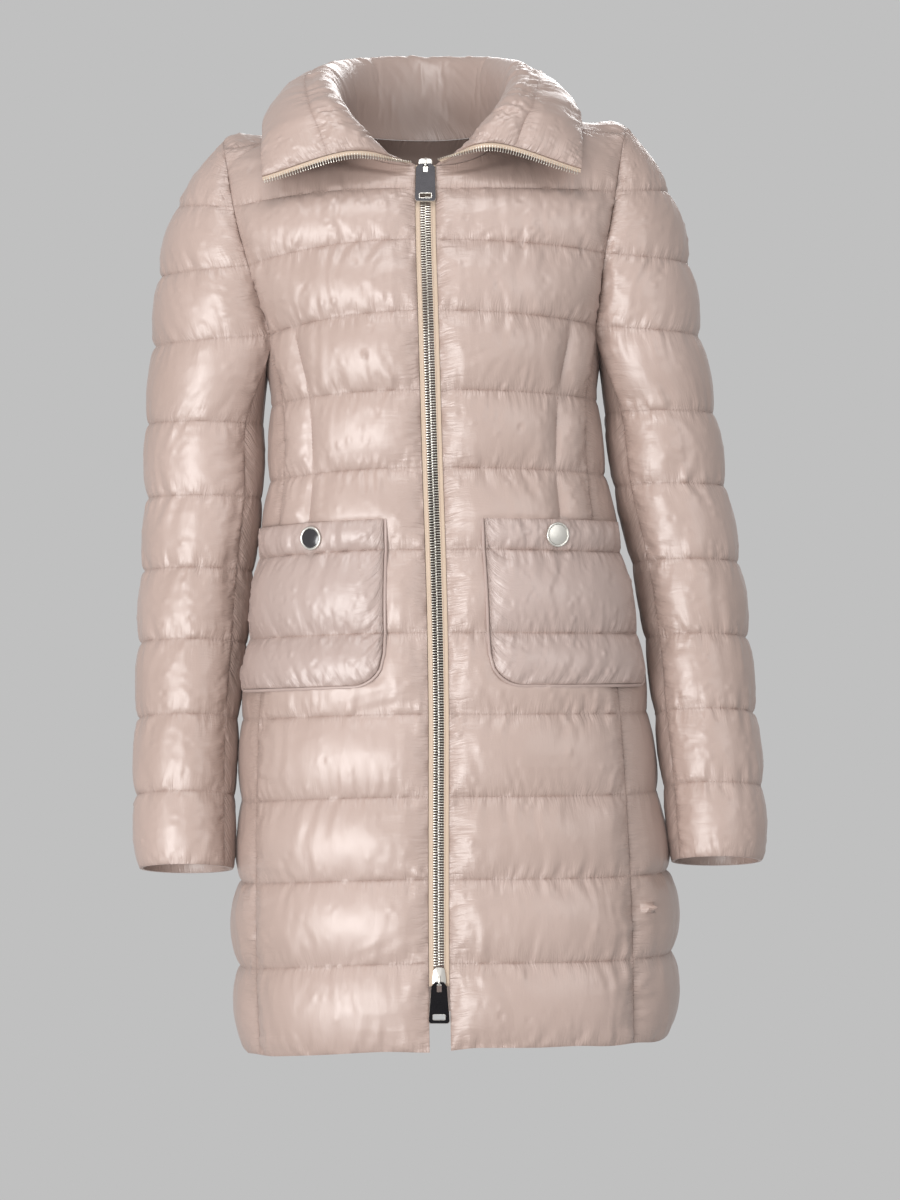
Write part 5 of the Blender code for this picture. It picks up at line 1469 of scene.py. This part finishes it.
def plated(name, colour, roughness, scratch=0.10, coat=0.0):
    """Plated or polished metal: clouds and fine scratches in its gloss."""
    finish = Finish(name, Metallic=1.0, Coat_Weight=coat, Coat_Roughness=0.08)
    place = finish.place()
    dull = finish.noise(place, 140.0, 3.0)
    scratches = finish.noise(finish.stretch(place, (2600.0, 2600.0, 180.0)), 1.0, 2.0)
    finish.set("Base Color", finish.mix(dull * 0.35, colour, tuple(0.62 * part for part in colour)))
    finish.set("Roughness", roughness + dull * 0.12 + scratches * scratch)
    finish.bump(scratches, 0.12, 0.0001)
    return finish.material


def button_enamel():
    """Black glass enamel under a clear coat, with a faint turned lustre."""
    finish = Finish("button enamel", Coat_Weight=0.8, Coat_Roughness=0.05, Specular_IOR_Level=0.6)
    place = finish.place()
    cloud = finish.noise(place, 260.0, 2.0)
    finish.set("Base Color", finish.mix(cloud * 0.5, ENAMEL, (0.028, 0.024, 0.028)))
    finish.set("Roughness", 0.14 + cloud * 0.08)
    finish.bump(cloud, 0.05, 0.0002)
    return finish.material


# ---- assembly -----------------------------------------------------------------------------------
def dress(piece, slot, body, *nodes):
    """Let a piece ride on a body and stand for CAD nodes; its slot is not used."""
    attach(piece, body)
    if nodes:
        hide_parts(*nodes)
    return piece


RIM_THREAD_IN, RIM_THREAD_UP = 0.0028, 0.0004    # of the edge stitching: from the rim, over the cloth


def add_coat():
    """All the quilted pieces, their threads, and the pockets with piping."""
    nylon = satin_nylon("satin nylon", CLOTH, CLOTH_DEEP, SEAM_SHADE_AND_THREAD_STRAND)
    pocket_nylon = satin_nylon("pocket nylon", POCKET_CLOTH, POCKET_DEEP, SEAM_SHADE_AND_THREAD_STRAND)
    cord, thread = corded_piping(), sewing_thread()
    patches = body_patches()
    sleeve_patches(patches)
    neck_columns, back_columns = collar_patch(patches)
    sew_all(patches, neck_columns, back_columns)
    pockets = {side: pocket_patch(side) for side in SIDES}
    everything = list(patches.values()) + list(pockets.values())
    for patch in everything:
        patch.build()
    moved = blow_up(everything)
    for patch, points in zip(everything, moved):
        is_pocket = patch.name.startswith("pocket")
        quilt = add_quilt(patch, points, pocket_nylon, 0.0) if is_pocket else add_quilt(patch, points, nylon)
        dress(quilt, "pocket_nylon" if is_pocket else "quilted_nylon", "root", patch.name)
        lines = seam_lines(patch)
        if is_pocket:
            (points, faces), rim, normals = pocket_piping(patch)
            piping = mesh_object(patch.name.replace("pocket", "cord"), points, outward(points, faces), cord)
            dress(piping, "piping", "root", patch.name.replace("pocket", "piping"))
            inside = (rim - patch.base.mean(axis=(0, 1)))
            raised = normals * (SEAM_WALL / 2 + RIM_THREAD_UP)
            lines.append((rim - unit(inside) * RIM_THREAD_IN + raised, normals))
        if lines:
            points, faces = stitches(lines)
            sewing = mesh_object(patch.name + "_thread", points, faces, thread, sharp=0)
            dress(sewing, "quilted_nylon", "root")
    return patches, pockets


def add_buttons(pockets):
    """The two snap buttons, on the faces of the pockets."""
    silver = plated("button silver", PALE_SILVER, 0.22)
    faces = {"right": button_enamel(), "left": plated("button face", PALE_SILVER, 0.30)}
    for side, patch in pockets.items():
        low, high = (np.array(corner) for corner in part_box("button_" + side))
        centre = (low + high) / 2
        surface, normals = patch.shown.reshape(-1, 3), patch.shown_normals.reshape(-1, 3)
        nearest = np.argsort(np.linalg.norm((surface - centre)[:, [0, 2]], axis=1))[:SEAT_POINTS]
        axis = unit(normals[nearest].mean(axis=0))
        seat = surface[nearest].mean(axis=0)
        cap, dome = button_meshes(BUTTON_RADIUS[side], seat, axis)
        rim = mesh_object("snap_rim_" + side, *cap, silver)
        face = mesh_object("snap_face_" + side, *dome, faces[side])
        dress(rim, "button_silver", "root", "button_" + side)
        dress(face, "button_enamel" if side == "right" else "button_silver", "root")


def add_zip(patches):
    """Tapes, teeth, sliders and pulls, and the open tapes along the collar's front edges."""
    cloth = woven_tape()
    tooth = plated("tooth metal", TOOTH_METAL, 0.24)
    metal = plated("slider metal", SLIDER_METAL, 0.20)
    dark = plated("gunmetal", GUNMETAL, 0.16, coat=0.15)
    centre, normals = zip_line(patches)
    numbers = levels(0, TOP_ROW)
    above = numbers >= TAPE_START - 1e-6
    closed = []
    for order, (side, sign) in enumerate(SIDES.items()):
        towards = np.array((sign, 0.0, 0.0))
        first = centre[above] + towards * (ZIP_HALF - SEAM_GAP)
        last = centre[above] + towards * TAPE_INNER
        points, faces, cut = tape_strip(first, last, normals[above])
        dress(mesh_object("tape_" + side, points, faces, cloth, cut), "zip_tape", "root", "zip_tape_" + side)
        level = centre[:, 2]
        steps = np.linspace(*CHAIN_ENDS, CHAIN_STEPS) + order * TOOTH_PITCH / 2
        line = np.stack([np.interp(steps, level, centre[:, k]) for k in range(3)], axis=1)
        line_normals = unit(np.stack([np.interp(steps, level, normals[:, k]) for k in range(3)], axis=1))
        line = line + towards * TOOTH_OUT
        closed.append(teeth(line, line_normals, np.tile(-towards, (len(line), 1))))
        collar = patches["collar"]
        column, inner = (-1, -2) if side == "left" else (0, 1)
        edge, neighbour = collar.grid[2:, column], collar.grid[2:, inner]
        face = collar.normals[2:, column]
        away = unit(np.cross(unit(np.gradient(edge, axis=0)), face))
        away *= np.sign(np.sum(away * (edge - neighbour), axis=1, keepdims=True))
        points, faces, cut = tape_strip(edge + away * COLLAR_TAPE_GAP, edge + away * COLLAR_TAPE, face)
        dress(mesh_object("collar_edge_tape_" + side, points, faces, cloth, cut), "zip_tape", "root",
              "collar_tape_" + side)
        points, faces = teeth(edge + away * (COLLAR_TAPE + COLLAR_TEETH_OUT), face, away)
        dress(mesh_object("collar_teeth_" + side, points, faces, tooth), "zip_metal", "root")
    points, faces = join(closed)
    dress(mesh_object("zip_teeth", points, faces, tooth), "zip_metal", "root", "zip_chain")
    for name, size in SLIDERS.items():
        origin, lean = place_on_zip(centre, size["z"])
        points, faces = slider_mesh(size)
        body = mesh_object("slider_body_" + name, leaned(points, origin, lean), faces, metal)
        dress(body, "zip_metal", "root", "slider_" + name)
        add_pull(name, size, origin, lean, dark, metal)


PULL_RIM = (0.00098, 0.00030)        # half depth and half width of the bright rim of a pull
PULL_RIM_TOP = -0.0040               # the rim stays clear of the bar and the bail


PLATE_EDGE = 0.0002        # rounding of the dark plate
RIM_STEPS, RIM_ROUNDINGS = 20, 6    # points a side of a rim, and times its corners are averaged


def add_pull(name, size, origin, lean, dark, metal):
    """A pull on its bar: a dark plate with a keyhole and a window, in a bright narrow frame."""
    front = -(TAPE_WALL / 2 + PLATE_GAP) - PLATE_FRONT
    bar = np.array((0.0, front - BAIL_OPENING / 2, size["bail"] - BAR_DROP))
    outline, slot, window = pull_outline(name)
    mesh, flat = flat_metal("pull_plate_" + name, (outline, slot, window), BAR_HALF, PLATE_EDGE)
    mesh.vertices.foreach_set("co", leaned(flat + bar, origin, lean).astype(np.float32).ravel())
    mesh.materials.append(dark)
    mesh.update()
    plate = bpy.data.objects.new("pull_plate_" + name, mesh)
    bpy.context.scene.collection.objects.link(plate)
    dress(plate, "pull_metal", "pull_" + name, "pull_" + name)
    rims = []
    for corners, closed in ((outline, False), (window, True)):
        corners = np.array([(x, 0.0, z) for x, z in corners + corners[:1]])
        line = read(corners, np.linspace(0, len(corners) - 1, RIM_STEPS * (len(corners) - 1) + 1)[:-1])
        for _ in range(RIM_ROUNDINGS):
            line = (np.roll(line, 1, axis=0) + line + np.roll(line, -1, axis=0)) / 3
        ahead = unit(np.roll(line, -1, axis=0) - np.roll(line, 1, axis=0))
        kept = np.ones(len(line), bool) if closed else line[:, 2] < PULL_RIM_TOP
        across = np.tile((0.0, 1.0, 0.0), (kept.sum(), 1))
        section = across * PULL_RIM[0], np.cross(ahead[kept], across) * PULL_RIM[1]
        points, faces = closed_band(line, *section) if closed else tube(line[kept], *section, 1.0, sides=8)
        rims.append((points, outward(points, faces)))
    points, faces = join(rims)
    frame_piece = mesh_object("pull_frame_" + name, leaned(points + bar, origin, lean), faces, metal)
    dress(frame_piece, "zip_metal", "pull_" + name)


def closed_band(line, across, upward, sides=8):
    """A closed ring: an oval section carried round a closed line."""
    turn = (np.arange(sides) + 0.5) * 2 * math.pi / sides
    section = np.cos(turn)[:, None] * across[:, None] + np.sin(turn)[:, None] * upward[:, None]
    rings = line[:, None] + section
    number = np.arange(len(line) * sides).reshape(-1, sides)
    following, ahead = np.roll(number, -1, axis=1), np.roll(number, -1, axis=0)
    quads = np.stack([number, following, np.roll(following, -1, axis=0), ahead], axis=-1).reshape(-1, 4)
    return rings.reshape(-1, 3), [quads]


# ---- stage --------------------------------------------------------------------------------------
BACKDROP = 0.527           # the pale grey of the studio, as light
FLOOR_LEVEL = -1.45        # under the feet of a standing wearer
FLOOR_RADIUS = 2.3
LAMP_COLUMNS = ("name", "place", "size", "power")
LAMPS = (
    ("key", (-1.45, -2.60, -0.95), 1.9, 82.0),
    ("fill", (1.90, -2.60, 0.30), 1.3, 15.0),
    ("front top", (-0.30, -1.80, 2.00), 1.3, 31.0),
    ("back", (0.60, 2.80, 1.40), 1.6, 44.0),
)
AIM = (0.02, 0.0, -0.42)


def add_stage():
    """A pale floor, an even studio grey all round, and soft lamps."""
    floor_finish = Finish("studio floor", Roughness=0.85)
    grain = floor_finish.noise(floor_finish.place(), 40.0, 2.0)
    floor_finish.set("Base Color", floor_finish.mix(grain, (0.55, 0.55, 0.55), (0.50, 0.50, 0.50)))
    points, faces = turned([(0, -0.02), (FLOOR_RADIUS, -0.02), (FLOOR_RADIUS, 0), (0, 0)],
                           (0.0, 0.0, FLOOR_LEVEL), (0.0001, 0.0, 1.0), sides=96)
    mesh_object("floor", points, faces, floor_finish.material)
    world = bpy.data.worlds.new("studio")
    bpy.context.scene.world = world
    world.use_nodes = True
    world.node_tree.nodes["Background"].inputs["Color"].default_value = (BACKDROP, BACKDROP, BACKDROP, 1)
    aim = np.array(AIM)
    for lamp in named(LAMP_COLUMNS, LAMPS):
        data = bpy.data.lights.new(lamp["name"], "AREA")
        data.shape, data.size, data.energy = "DISK", lamp["size"], lamp["power"]
        made = bpy.data.objects.new(lamp["name"], data)
        made.location = lamp["place"]
        x, y, z = aim - lamp["place"]
        made.rotation_euler = (math.atan2(math.hypot(x, y), -z), 0.0, math.atan2(y, x) - math.pi / 2)
        bpy.context.scene.collection.objects.link(made)
    bpy.context.scene.view_settings.view_transform = "Standard"


patches, pockets = add_coat()
add_buttons(pockets)
add_zip(patches)
add_stage()
